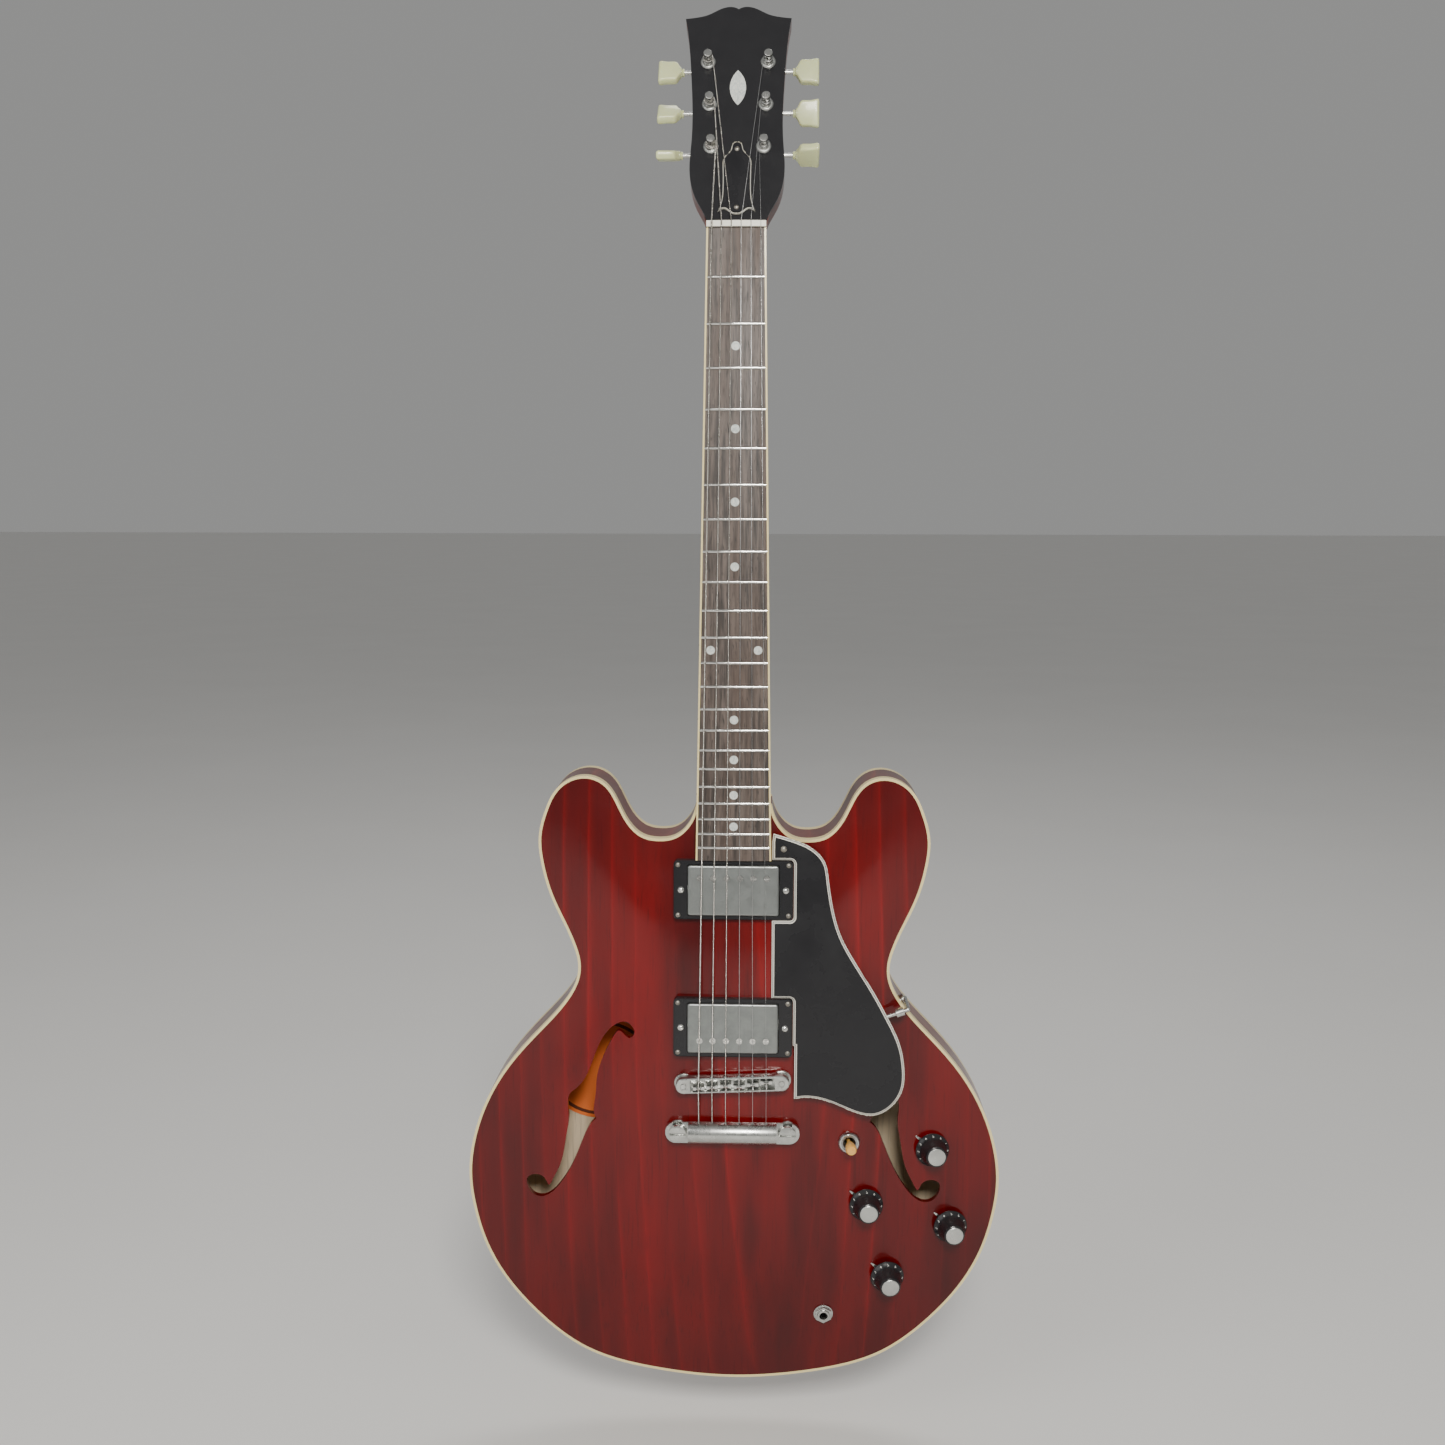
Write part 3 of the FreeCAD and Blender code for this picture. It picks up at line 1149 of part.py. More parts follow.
def saddle(number):
    x = saddle_x(number)
    s = SADDLE_SHIFT[number]
    half = SADDLE_LENGTH / 2
    low = BRIDGE_T + BRIDGE_FLOOR + MOVING
    peak = saddle_top(number) + NOTCH_DEPTH
    crest = half - SADDLE_CREST
    profile = [(-half, low), (half, low), (half, peak - SADDLE_SLOPE), (crest, peak), (crest - 0.5, peak),
               (-half, peak - SADDLE_SLOPE)]
    points = [V(x - SADDLE_WIDTH / 2, s + along, height) for along, height in profile]
    block = Part.Face(Part.makePolygon(points + [points[0]])).extrude(V(SADDLE_WIDTH, 0, 0))
    shoulder = peak - SADDLE_SHOULDER
    sides = [box(x - SADDLE_WIDTH, x - SADDLE_MIDDLE, s - PAST, s + PAST, shoulder, peak + 1),
             box(x + SADDLE_MIDDLE, x + SADDLE_WIDTH, s - PAST, s + PAST, shoulder, peak + 1)]
    bore = Part.makeCylinder(SADDLE_SCREW + RUNNING, 2 * PAST, V(x, s - PAST, SADDLE_AXIS_T), V(0, 1, 0))
    radius = STRING_DIAMETERS[number] / 2
    notch = Part.makeCylinder(radius + NOTCH_FIT, 2 * PAST, V(x, s - PAST, saddle_top(number) + radius),
                              V(0, 1, 0))
    return placed(block.cut(sides + [bore, notch]), BRIDGE_FRAME)


def tailpiece():
    """Bar with a rounded back, a raised middle and a slotted lug at each end."""
    half = TAIL_WIDTH / 2
    low = TAIL_T
    high = TAIL_T + TAIL_HEIGHT
    arc = Part.Arc(V(-TAIL_LENGTH / 2, half, low + 3), V(-TAIL_LENGTH / 2, 0, high),
                   V(-TAIL_LENGTH / 2, -half, low + 3)).toShape()
    down = Part.makePolygon([V(-TAIL_LENGTH / 2, -half, low + 3), V(-TAIL_LENGTH / 2, -half + 2.5, low),
                             V(-TAIL_LENGTH / 2, half - 2.5, low), V(-TAIL_LENGTH / 2, half, low + 3)])
    bar = Part.Face(Part.Wire([arc] + down.Edges)).extrude(V(TAIL_LENGTH, 0, 0))
    cuts = []
    for side in (-1, 1):
        x = side * STUD_X
        outer = side * TAIL_LENGTH / 2
        inner = side * 33.5
        cuts.append(box(min(inner, outer * 1.1), max(inner, outer * 1.1), -20, 20, low + LUG, high + 5))
        cuts.append(cylinder(STUD_NECK + 0.15, x, 0, low - 5, high))
        cuts.append(box(x - STUD_NECK - 0.15, x + STUD_NECK + 0.15, 0, 20, low - 5, high))
    for number in range(6):
        cuts.append(Part.makeCylinder(1.3, 60, V(saddle_x(number), -30, STRING_HOLE_T), V(0, 1, 0)))
        cuts.append(Part.makeCylinder(BALL_RADIUS + 0.4, TAIL_WIDTH,
                                      V(saddle_x(number), -half + BALL_SEAT - TAIL_WIDTH, STRING_HOLE_T),
                                      V(0, 1, 0)))
    lugs = rounded_box(TAIL_LENGTH, TAIL_WIDTH, low - 1, high + 1, half - 0.2)
    bar = bar.cut(cuts).common(lugs)
    return placed(bar, BODY.multiply(at(0, TAIL_LINE_S, 0)))


def tailpiece_studs():
    """Knurled bushings pressed into the block, and the slotted studs that screw into them."""
    seat_t = STUD_SEAT_T + 0.6
    pieces = []
    for side in (-1, 1):
        x = side * STUD_X
        bush = joined([cylinder(STUD_BUSH, x, 0, seat_t - 22, seat_t),
                       cylinder(7.6, x, 0, seat_t - 0.2, seat_t + 0.7)])
        pieces.append(bush.cut(cylinder(STUD_NECK + 0.03, x, 0, seat_t - 20, seat_t + 5)))
        head_low = TAIL_T + LUG + GLUE
        stud = joined([cylinder(STUD_NECK, x, 0, seat_t - 18, head_low + 1),
                       cylinder(STUD_HEAD, x, 0, head_low, head_low + 3.4)])
        pieces.append(stud.cut(box(x - 9, x + 9, -0.8, 0.8, head_low + 1.8, head_low + 9)))
    return placed(group(pieces), BODY.multiply(at(0, TAIL_LINE_S, 0)))


# ---- strings ----


def string_post(number):
    """Post that a string winds on: the outer strings use the posts nearest the nut."""
    return number if number < 3 else 8 - number


def windings(number):
    """Points in the head frame of a string's turns round its post, from where it arrives."""
    post = string_post(number)
    x, height = head_post_places()[post]
    side = tuner_side(post)
    diameter = STRING_DIAMETERS[number]
    radius = (TUNER_POST + GLUE + diameter / 2) / math.cos(math.pi / WIND_SIDES)
    points = []
    for step in range(int(WIND_TURNS * WIND_SIDES) + 1):
        angle = 2 * math.pi * step / WIND_SIDES
        drop = (diameter + WIND_GAP) * step / WIND_SIDES
        points.append(V(x - side * radius * math.cos(angle), height + radius * math.sin(angle),
                        VENEER + WIND_LIFTS[post % 3] - drop))
    return points


def strings():
    """Each string from the ball in the tailpiece, over its saddle and the nut, to its post."""
    pieces = []
    to_body = BODY.inverse()
    for number, diameter in enumerate(STRING_DIAMETERS):
        radius = diameter / 2
        x = saddle_x(number)
        on_saddle = V(x, SADDLE_SHIFT[number] + SADDLE_LENGTH / 2 - 1.5, saddle_top(number) + radius)
        ball_s = TAIL_LINE_S - TAIL_WIDTH / 2 + BALL_SEAT - BALL_RADIUS - GLUE
        path = [V(x, ball_s, STRING_HOLE_T),
                V(x, TAIL_LINE_S + TAIL_WIDTH / 2 + 0.4, STRING_HOLE_T),
                to_body.multVec(BRIDGE_FRAME.multVec(on_saddle)),
                to_body.multVec(NECK.multVec(V(string_x(number, 0), NUT_LENGTH, string_t(number, 0))))]
        path += [to_body.multVec(HEAD.multVec(point)) for point in windings(number)]
        section = Part.Wire(Part.makeCircle(radius, path[0], path[1] - path[0]))
        run = Part.makePolygon(path).makePipeShell([section], True, False, 1)
        pieces.append(joined([Part.makeSphere(BALL_RADIUS, path[0]), run]))
    return placed(group(pieces), BODY)


# ---- controls ----


def knob(number):
    """Skirted knob with a metal cap, and the pot's split shaft that it is pushed onto."""
    low = KNOB_LIFT
    top = low + KNOB_HEIGHT
    inner = KNOB_RADIUS - KNOB_FLANGE
    skirt = [(0.0, low + KNOB_FLOOR), (inner, low + KNOB_FLOOR), (inner, low), (KNOB_RADIUS, low),
             (KNOB_RADIUS, low + 1.2), (KNOB_RADIUS - 1.2, low + 2.6)]
    skirt += [(KNOB_TOP_RADIUS + out, low + height) for out, height in KNOB_WAIST]
    skirt += [(KNOB_TOP_RADIUS, top - 0.6), (KNOB_TOP_RADIUS - 0.6, top), (0.0, top)]
    body = turned(skirt)
    body = body.cut(cylinder(SHAFT_RADIUS + GLUE, 0, 0, 0, top - KNOB_SOCKET))
    cap_radius = KNOB_TOP_RADIUS - KNOB_CAP
    cap = turned([(0.0, top + GLUE), (cap_radius, top + GLUE), (cap_radius - 0.2, top + KNOB_CAP_RISE[0]),
                  (0.0, top + KNOB_CAP_RISE[1])])
    shaft = cylinder(SHAFT_RADIUS, 0, 0, -PLATE - POT_HEIGHT / 2 - 0.5, top - KNOB_SOCKET - 0.2)
    frame = BODY.multiply(KNOB_SEATS[number])
    return placed(group([body, cap, shaft]), frame)


def pots():
    """Pot cases with their threaded bushings, under the top."""
    pieces = []
    case_top = -PLATE - POT_GAP
    for frame in KNOB_SEATS:
        case = cylinder(POT_RADIUS, 0, 0, case_top - POT_HEIGHT, case_top)
        bush = cylinder(POT_BUSH, 0, 0, case_top - 1, KNOB_LIFT - 0.5)
        width, reach, sheet = POT_LUGS
        lugs = box(-width / 2, width / 2, -POT_RADIUS - reach, -POT_RADIUS + 2, case_top - 2 - sheet,
                   case_top - 2)
        pot = joined([case, bush, lugs])
        pot = pot.cut([cylinder(SHAFT_RADIUS + RUNNING, 0, 0, case_top - POT_HEIGHT + 2, PAST)])
        pieces.append(placed(pot, BODY.multiply(frame)))
    return group(pieces)


def hexagon_nut(across, bore, low, high):
    reach = across / math.sqrt(3)
    corners = []
    for index in range(7):
        angle = math.radians(60 * index + 30)
        corners.append(V(reach * math.cos(angle), reach * math.sin(angle), low))
    blank = Part.Face(Part.makePolygon(corners)).extrude(V(0, 0, high - low))
    return blank.cut(cylinder(bore, 0, 0, low - 1, high + 1))


def control_nuts():
    """Washer, pointer and nut of each pot, and the dress nuts of the switch and the jack."""
    pieces = []
    lift = WASHER_LIFT
    root, root_s, reach = POINTER
    tip_s = KNOB_RADIUS + reach
    on_washer = lift + WASHER + NUT_GAP
    for frame in KNOB_SEATS:
        washer = tube(WASHER_RADIUS, POT_BUSH + GLUE, 0, 0, lift, lift + WASHER)
        corners = [V(-root, root_s, lift), V(root, root_s, lift), V(POINTER_TIP, tip_s, lift),
                   V(-POINTER_TIP, tip_s, lift)]
        arm = Part.Face(Part.makePolygon(corners + [corners[0]])).extrude(V(0, 0, WASHER))
        arm.rotate(V(0, 0, 0), V(0, 0, 1), POINTER_TURN)
        nut_ring = hexagon_nut(POT_NUT[0], POT_BUSH + GLUE, on_washer, on_washer + POT_NUT[1])
        local = group([joined([washer, arm]), nut_ring])
        pieces.append(placed(local, BODY.multiply(frame)))
    bore = SWITCH_BUSH + GLUE
    switch_ring = turned([(bore, lift)] + [(radius, lift + height) for radius, height in SWITCH_RING]
                         + [(bore, lift + SWITCH_RING[-1][1])])
    pieces.append(placed(switch_ring, BODY.multiply(SWITCH_SEAT)))
    washer = tube(JACK_WASHER[0], JACK_SLEEVE + GLUE, 0, 0, lift, lift + JACK_WASHER[1])
    on_washer = lift + JACK_WASHER[1] + NUT_GAP
    jack_ring = hexagon_nut(JACK_NUT[0], JACK_SLEEVE + GLUE, on_washer, on_washer + JACK_NUT[1])
    pieces.append(placed(group([washer, jack_ring]), BODY.multiply(JACK_SEAT)))
    return group(pieces)


def switch_frame():
    """Threaded collar and steel frame of the three-way switch."""
    half, side, sheet = SWITCH_FRAME
    low = -PLATE - SWITCH_COLLAR
    drop = -SWITCH_FRAME_DROP
    collar = turned([(SWITCH_BUSH, low), (SWITCH_BUSH, SWITCH_RISE), (SWITCH_MOUTH, SWITCH_RISE),
                     (SWITCH_THROAT, -1.0), (SWITCH_THROAT, low)])
    plate = box(-half, half, -side, side, low - 2.5, low + 0.5).cut(cylinder(SWITCH_THROAT, 0, 0, -PAST, 5))
    arms = [box(-half, sheet - half, -side, side, drop + 1, low - 1),
            box(half - sheet, half, -side, side, drop + 1, low - 1)]
    foot = box(-half, half, -side, side, drop, drop + 1.5)
    return placed(joined([collar, plate, foot] + arms), BODY.multiply(SWITCH_SEAT))


def switch_lever():
    """Bent-steel lever on its pivot ball, with a tapered tip."""
    stem = cylinder(LEVER_RADIUS, 0, 0, PIVOT_T - LEVER_TAIL, LEVER_TOP)
    ball = Part.makeSphere(PIVOT_RADIUS, V(0, 0, PIVOT_T))
    bore = LEVER_RADIUS + GLUE
    tip = turned([(bore, TIP_PROFILE[0][1])] + TIP_PROFILE
                 + [(0.0, TIP_TOP), (0.0, LEVER_TOP + 0.1), (bore, LEVER_TOP + 0.1)])
    return placed(group([joined([stem, ball]), tip]), BODY.multiply(SWITCH_SEAT))


def jack_socket():
    """Threaded sleeve that takes the plug, with its frame and contact springs."""
    sleeve = cylinder(JACK_SLEEVE, 0, 0, -JACK_LENGTH + JACK_RISE, JACK_RISE)
    sleeve = sleeve.cut(cylinder(JACK_BORE, 0, 0, -2 * JACK_LENGTH, PAST))
    radius, drop, sheet = JACK_PLATE
    high = -PLATE - drop
    plate = tube(radius, JACK_SLEEVE - 0.5, 0, 0, high - sheet, high)
    half, depth = JACK_SPRING
    spring = box(-radius, 1.4 - radius, -half, half, -depth, high - sheet / 2)
    hook = box(-radius, -JACK_HOOK, -half, half, -depth - 1, -depth + 0.4)
    return placed(joined([sleeve, plate, spring, hook]), BODY.multiply(JACK_SEAT))


def switch_frame():
    """Threaded collar and steel frame of the three-way switch."""
    collar = turned([(SWITCH_BUSH, -PLATE - 4), (SWITCH_BUSH, 3.0), (5.0, 3.0), (3.4, -1.0),
                     (3.4, -PLATE - 4)])
    plate = box(-9, 9, -7, 7, -PLATE - 6.5, -PLATE - 4 + 0.5).cut(cylinder(3.4, 0, 0, -20, 5))
    arms = [box(-9, -7.6, -7, 7, -32, -PLATE - 5), box(7.6, 9, -7, 7, -32, -PLATE - 5)]
    foot = box(-9, 9, -7, 7, -33, -31.5)
    return placed(joined([collar, plate, foot] + arms), BODY.multiply(SWITCH_SEAT))


def switch_lever():
    """Bent-steel lever on its pivot ball, with a tapered tip."""
    stem = cylinder(LEVER_RADIUS, 0, 0, PIVOT_T - 12, 9.5)
    ball = Part.makeSphere(2.6, V(0, 0, PIVOT_T))
    tip = turned([(LEVER_RADIUS + GLUE, 4.4), (2.5, 4.4), (3.3, 7.0), (4.1, 12.0), (4.2, 15.5), (3.3, 17.6),
                  (0.0, 18.4), (0.0, 9.6), (LEVER_RADIUS + GLUE, 9.6)])
    return placed(group([joined([stem, ball]), tip]), BODY.multiply(SWITCH_SEAT))


def jack_socket():
    """Threaded sleeve that takes the plug, with its frame and contact springs."""
    sleeve = cylinder(JACK_SLEEVE, 0, 0, -JACK_LENGTH + 4.2, 4.2).cut(cylinder(JACK_BORE, 0, 0, -40, 10))
    plate = tube(9.0, JACK_SLEEVE - 0.5, 0, 0, -PLATE - 3.2, -PLATE - 2.0)
    spring = box(-9, -7.6, -2.5, 2.5, -36, -PLATE - 2.6)
    hook = box(-9, -4.4, -2.5, 2.5, -37, -35.6)
    return placed(joined([sleeve, plate, spring, hook]), BODY.multiply(JACK_SEAT))


# ---- tuners ----


def tuner_side(number):
    return -1 if head_post_places()[number][0] < 0 else 1


def housing_screw_places():
    reach = HOUSING_LENGTH / 2 - HOUSING_SCREW_EDGE
    return [(x, height + WORM_OFFSET / 2 + end * reach)
            for x, height in head_post_places() for end in (-1, 1)]


def tuner_housing(number):
    x, height = head_post_places()[number]
    side = tuner_side(number)
    high = -HEAD_THICKNESS - GLUE
    low = high - HOUSING_DEPTH
    middle = height + WORM_OFFSET / 2
    shell = rounded_box(HOUSING_WIDTH, HOUSING_LENGTH, low, high, HOUSING_CORNER, x, middle)
    rim = [e for e in shell.Edges if max(v.Z for v in e.Vertexes) < low + 0.01]
    shell = shell.makeFillet(HOUSING_EDGE, rim)
    collar_radius, collar_reach = HOUSING_COLLAR
    collar_end = x + side * (HOUSING_WIDTH / 2 + collar_reach)
    shaft_s = height + WORM_OFFSET
    collar = rod(V(x + side * (HOUSING_WIDTH / 2 - 2), shaft_s, GEAR_T), V(collar_end, shaft_s, GEAR_T),
                 collar_radius)
    body = joined([shell, collar])
    half, below, above = HOUSING_ROOM
    cavity = box(x - half, x + half, height - below, shaft_s + above, low + HOUSING_WALL, high + 1)
    bore = rod(V(x, shaft_s, GEAR_T), V(x + side * BUTTON_START, shaft_s, GEAR_T), KEY_SHAFT + RUNNING)
    screws = [cylinder(HOUSING_SHANK + GLUE, x, place, low - PAST, high + PAST)
              for x, place in housing_screw_places()[2 * number:2 * number + 2]]
    return placed(body.cut([cavity, bore] + screws), HEAD)


def tuner_housings():
    return group([tuner_housing(number) for number in range(6)])


def tuner_bushings():
    """Flanged bushings in the headstock that the posts turn in."""
    pieces = []
    for x, height in head_post_places():
        top = VENEER + BUSHING_TOP
        sleeve = cylinder(BUSHING_RADIUS - GLUE, x, height, -HEAD_THICKNESS + 1, top)
        flange = turned([(0.0, VENEER + GLUE), (5.7, VENEER + GLUE), (5.7, VENEER + 0.5),
                         (4.9, top), (0.0, top)])
        flange.translate(V(x, height, 0))
        bush = joined([sleeve, flange]).cut(cylinder(TUNER_POST + RUNNING, x, height, -40, 20))
        pieces.append(bush)
    return placed(group(pieces), HEAD)


def tuner_post(number):
    """String post with its worm wheel at the foot."""
    x, height = head_post_places()[number]
    top = VENEER + POST_TOP
    profile = [(0.0, GEAR_T - 1.3), (TUNER_POST - 0.6, GEAR_T - 1.3), (TUNER_POST - 0.6, GEAR_T + 1.6),
               (TUNER_POST, GEAR_T + 1.6), (TUNER_POST, VENEER + 3.6), (TUNER_POST - 0.5, VENEER + 4.4),
               (TUNER_POST - 0.5, top - 3.6), (TUNER_POST, top - 2.8), (TUNER_POST, top - 0.5),
               (TUNER_POST - 0.5, top), (0.0, top)]
    post = turned(profile)
    wheel = []
    steps = GEAR_TEETH * 4
    for index in range(steps + 1):
        angle = 2 * math.pi * index / steps
        radius = GEAR_RADIUS if index % 4 < 2 else GEAR_RADIUS - GEAR_TOOTH
        wheel.append(V(radius * math.cos(angle), radius * math.sin(angle), GEAR_T - GEAR_WIDTH / 2))
    gear = Part.Face(Part.makePolygon(wheel)).extrude(V(0, 0, GEAR_WIDTH))
    eye_radius, eye_height, eye_turn = POST_EYE
    eye = Part.makeCylinder(eye_radius, 2 * PAST, V(-PAST, 0, VENEER + eye_height), V(1, 0, 0))
    eye.rotate(V(0, 0, 0), V(0, 0, 1), eye_turn)
    post = joined([post, gear]).cut(eye)
    post.translate(V(x, height, 0))
    return placed(post, HEAD)


def tuner_key(number):
    """Keystone button on its shaft, with the worm inside the housing."""
    x, height = head_post_places()[number]
    side = tuner_side(number)
    start = BUTTON_START - abs(x)
    shaft = Part.makeCylinder(KEY_SHAFT, start + BUTTON_SOCKET + WORM_TAIL, V(-WORM_TAIL, 0, 0), V(1, 0, 0))
    count, pitch, width, before = WORM_RINGS
    rings = [Part.makeCylinder(WORM_RADIUS, width, V(pitch * i - before, 0, 0), V(1, 0, 0))
             for i in range(count)]
    shaft = joined([shaft] + rings)
    collar = Part.makeCone(*BUTTON_COLLAR, V(start, 0, 0), V(1, 0, 0))
    end = start + BUTTON_LENGTH
    half = BUTTON_THICKNESS / 2
    edge = [(start + 2.4, 3.4), (start + 5.2, 8.3), (end - 0.8, BUTTON_HALF), (end, BUTTON_HALF - 1.2)]
    outline = [V(along, -out, -half) for along, out in edge]
    outline += [V(along, out, -half) for along, out in reversed(edge)]
    blade = Part.Face(Part.makePolygon(outline + [outline[0]])).extrude(V(0, 0, BUTTON_THICKNESS))
    button = joined([collar, blade])
    button = button.cut(Part.makeCylinder(KEY_SHAFT + 0.02, start + BUTTON_SOCKET + 0.1, V(0, 0, 0),
                                          V(1, 0, 0)))
    local = group([shaft, button])
    local.rotate(V(0, 0, 0), V(1, 0, 0), BUTTON_TURNS[number])
    if side < 0:
        local.rotate(V(0, 0, 0), V(0, 0, 1), 180)
    local.translate(V(x, height + WORM_OFFSET, GEAR_T))
    return placed(local, HEAD)


# ---- pickguard, screws and strap buttons ----


def pickguard():
    outer = spline([(x, -s, GUARD_LIFT) for x, s in GUARD_OUTLINE])
    first = GUARD_OUTLINE[0]
    last = GUARD_OUTLINE[-1]
    side = board_half(BOARD_END_S) + 0.8
    corners = [V(last[0], -last[1], GUARD_LIFT), V(last[0], BRIDGE_S + 30, GUARD_LIFT),
               V(side, BRIDGE_S + 30, GUARD_LIFT), V(side, -first[1] - 6, GUARD_LIFT),
               V(first[0], -first[1], GUARD_LIFT)]
    plate = prism(Part.Wire([outer] + Part.makePolygon(corners).Edges), GUARD_THICKNESS)
    to_neck = NECK.inverse()
    cuts = []
    for frame in (NECK_PICKUP, BRIDGE_PICKUP):
        notch = rounded_box(RING_LENGTH + 1.2, RING_WIDTH + 1.2, -30, 30, RING_CORNER)
        cuts.append(placed(notch, to_neck.multiply(frame)))
    cuts.append(cylinder(1.6, GUARD_SCREW[0], GUARD_SCREW[1], -5, 15))
    return placed(plate.cut(cuts), NECK)


def pickguard_bracket():
    """Rod under the guard that turns down onto a foot on the side of the body."""
    to_body = BODY.inverse()
    under = GUARD_LIFT - 2.2
    start = to_body.multVec(NECK.multVec(V(100, -586, under)))
    knee = to_body.multVec(NECK.multVec(V(126.4, -576, under)))
    edge, outward = bracket_side()
    foot = edge + outward * (BRACKET_GAP + 2.4)
    over = V(foot.x, foot.y, knee.z)
    arms = [rod(start, over, 1.6), rod(over, foot, 1.6), Part.makeSphere(1.6, over)]
    pad = Part.makeCylinder(4.2, 2.4, edge + outward * BRACKET_GAP, outward)
    collar = rod(start + (over - start) * 0.72, start + (over - start) * 0.9, 3.4)
    return placed(joined(arms + [pad, collar]), BODY)


def bracket_side():
    """Point of the side under the waist where the bracket's foot lands, and its outward normal."""
    target = JOINT_Z - BRACKET_DROP
    index = min((i for i, point in enumerate(EDGE) if point.x > 0), key=lambda i: abs(EDGE[i].y - target))
    along = EDGE[index + 1] - EDGE[index - 1]
    outward = V(-along.y, along.x, 0).normalize()
    return V(EDGE[index].x, EDGE[index].y, BRACKET_FOOT_T), outward


def wood_screws():
    pieces = []
    small = slotted_screw(1.9, 0.9, RING_SHANK, RING_SCREW_LENGTH)
    for frame in (NECK_PICKUP, BRIDGE_PICKUP):
        for x, s in ring_screw_spots():
            pieces.append(placed(small, frame.multiply(at(x, s, -RING_DROP + GLUE, 35))))
    cover = slotted_screw(1.9, 0.9, BELL_SHANK, BELL_SCREW_LENGTH)
    for height in BELL_SCREWS:
        pieces.append(placed(cover, HEAD.multiply(at(0, height, VENEER + COVER_THICKNESS + 2 * GLUE))))
    guard = slotted_screw(2.4, 1.1, GUARD_SHANK, GUARD_SCREW_LENGTH)
    place = at(GUARD_SCREW[0], GUARD_SCREW[1], GUARD_LIFT + GUARD_THICKNESS + GLUE)
    pieces.append(placed(guard, NECK.multiply(place)))
    housing = slotted_screw(1.6, 0.7, HOUSING_SHANK, HOUSING_DEPTH + HOUSING_SCREW_BITE)
    for x, height in housing_screw_places():
        place = FreeCAD.Placement(V(x, height, -HEAD_THICKNESS - 2 * GLUE - HOUSING_DEPTH),
                                  FreeCAD.Rotation(V(1, 0, 0), 180))
        pieces.append(placed(housing, HEAD.multiply(place)))
    return group(pieces)


def strap_button():
    profile = [(0.0, GLUE), (5.2, GLUE), (5.2, 1.5), (3.6, 3.0), (3.4, 6.4), (6.8, 8.4), (7.2, 9.4),
               (6.9, 10.4), (0.0, 10.9)]
    stem = cylinder(STRAP_SCREW - GLUE, 0, 0, -STRAP_SCREW_LENGTH, 1)
    return joined([turned(profile), stem])


def strap_buttons():
    tail = FreeCAD.Placement(V(0, TAIL_S, STRAP_T), FreeCAD.Rotation(V(1, 0, 0), 90))
    pieces = [placed(strap_button(), BODY.multiply(tail))]
    heel = FreeCAD.Placement(V(0, JOINT_Z + HEEL_BUTTON_RISE, BACK_T), FreeCAD.Rotation(V(1, 0, 0), 180))
    pieces.append(placed(strap_button(), BODY.multiply(heel)))
    return group(pieces)


def build():
    """Every piece of the guitar, by name."""
    pieces = {
        "body_top": body_top, "body_back": body_back, "body_rim": body_rim, "body_binding": body_binding,
        "center_block": center_block, "linings": linings, "neck": neck, "headstock_veneer": headstock_veneer,
        "pearl_inlays": pearl_inlays, "truss_rod": truss_rod, "truss_rod_cover": truss_rod_cover,
        "fingerboard": fingerboard, "fingerboard_binding": fingerboard_binding, "frets": frets, "nut": nut,
        "pickguard": pickguard, "pickguard_bracket": pickguard_bracket, "strings": strings,
        "pickup_rings": pickup_rings, "machine_screws": machine_screws, "wood_screws": wood_screws,
        "pickup_springs": pickup_springs,
        "neck_pickup_cover": lambda: pickup_cover(NECK_PICKUP, True),
        "neck_pickup_coils": lambda: pickup_coils(NECK_PICKUP, True),
        "bridge_pickup_cover": lambda: pickup_cover(BRIDGE_PICKUP, False),
        "bridge_pickup_coils": lambda: pickup_coils(BRIDGE_PICKUP, False),
        "bridge_posts": bridge_posts, "bridge_body": bridge_body, "tailpiece": tailpiece,
        "tailpiece_studs": tailpiece_studs, "strap_buttons": strap_buttons, "jack_socket": jack_socket,
        "switch_frame": switch_frame, "switch_lever": switch_lever, "pots": pots,
        "control_nuts": control_nuts, "tuner_housings": tuner_housings, "tuner_bushings": tuner_bushings,
    }
    for number in range(6):
        pieces["saddle_%d" % (number + 1)] = lambda n=number: saddle(n)
        pieces["tuner_key_%d" % (number + 1)] = lambda n=number: tuner_key(n)
        pieces["tuner_post_%d" % (number + 1)] = lambda n=number: tuner_post(n)
    for number in range(4):
        pieces["knob_%d" % (number + 1)] = lambda n=number: knob(n)
    return pieces


def main():
    os.makedirs("parts", exist_ok=True)
    for name, make in build().items():
        shape = make()
        shape.exportStep("parts/" + name + ".step")


if __name__ == "__main__":
    main()
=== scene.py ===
import json
import math

import bmesh
import bpy
from mathutils import Matrix, Vector
from mathutils.bvhtree import BVHTree

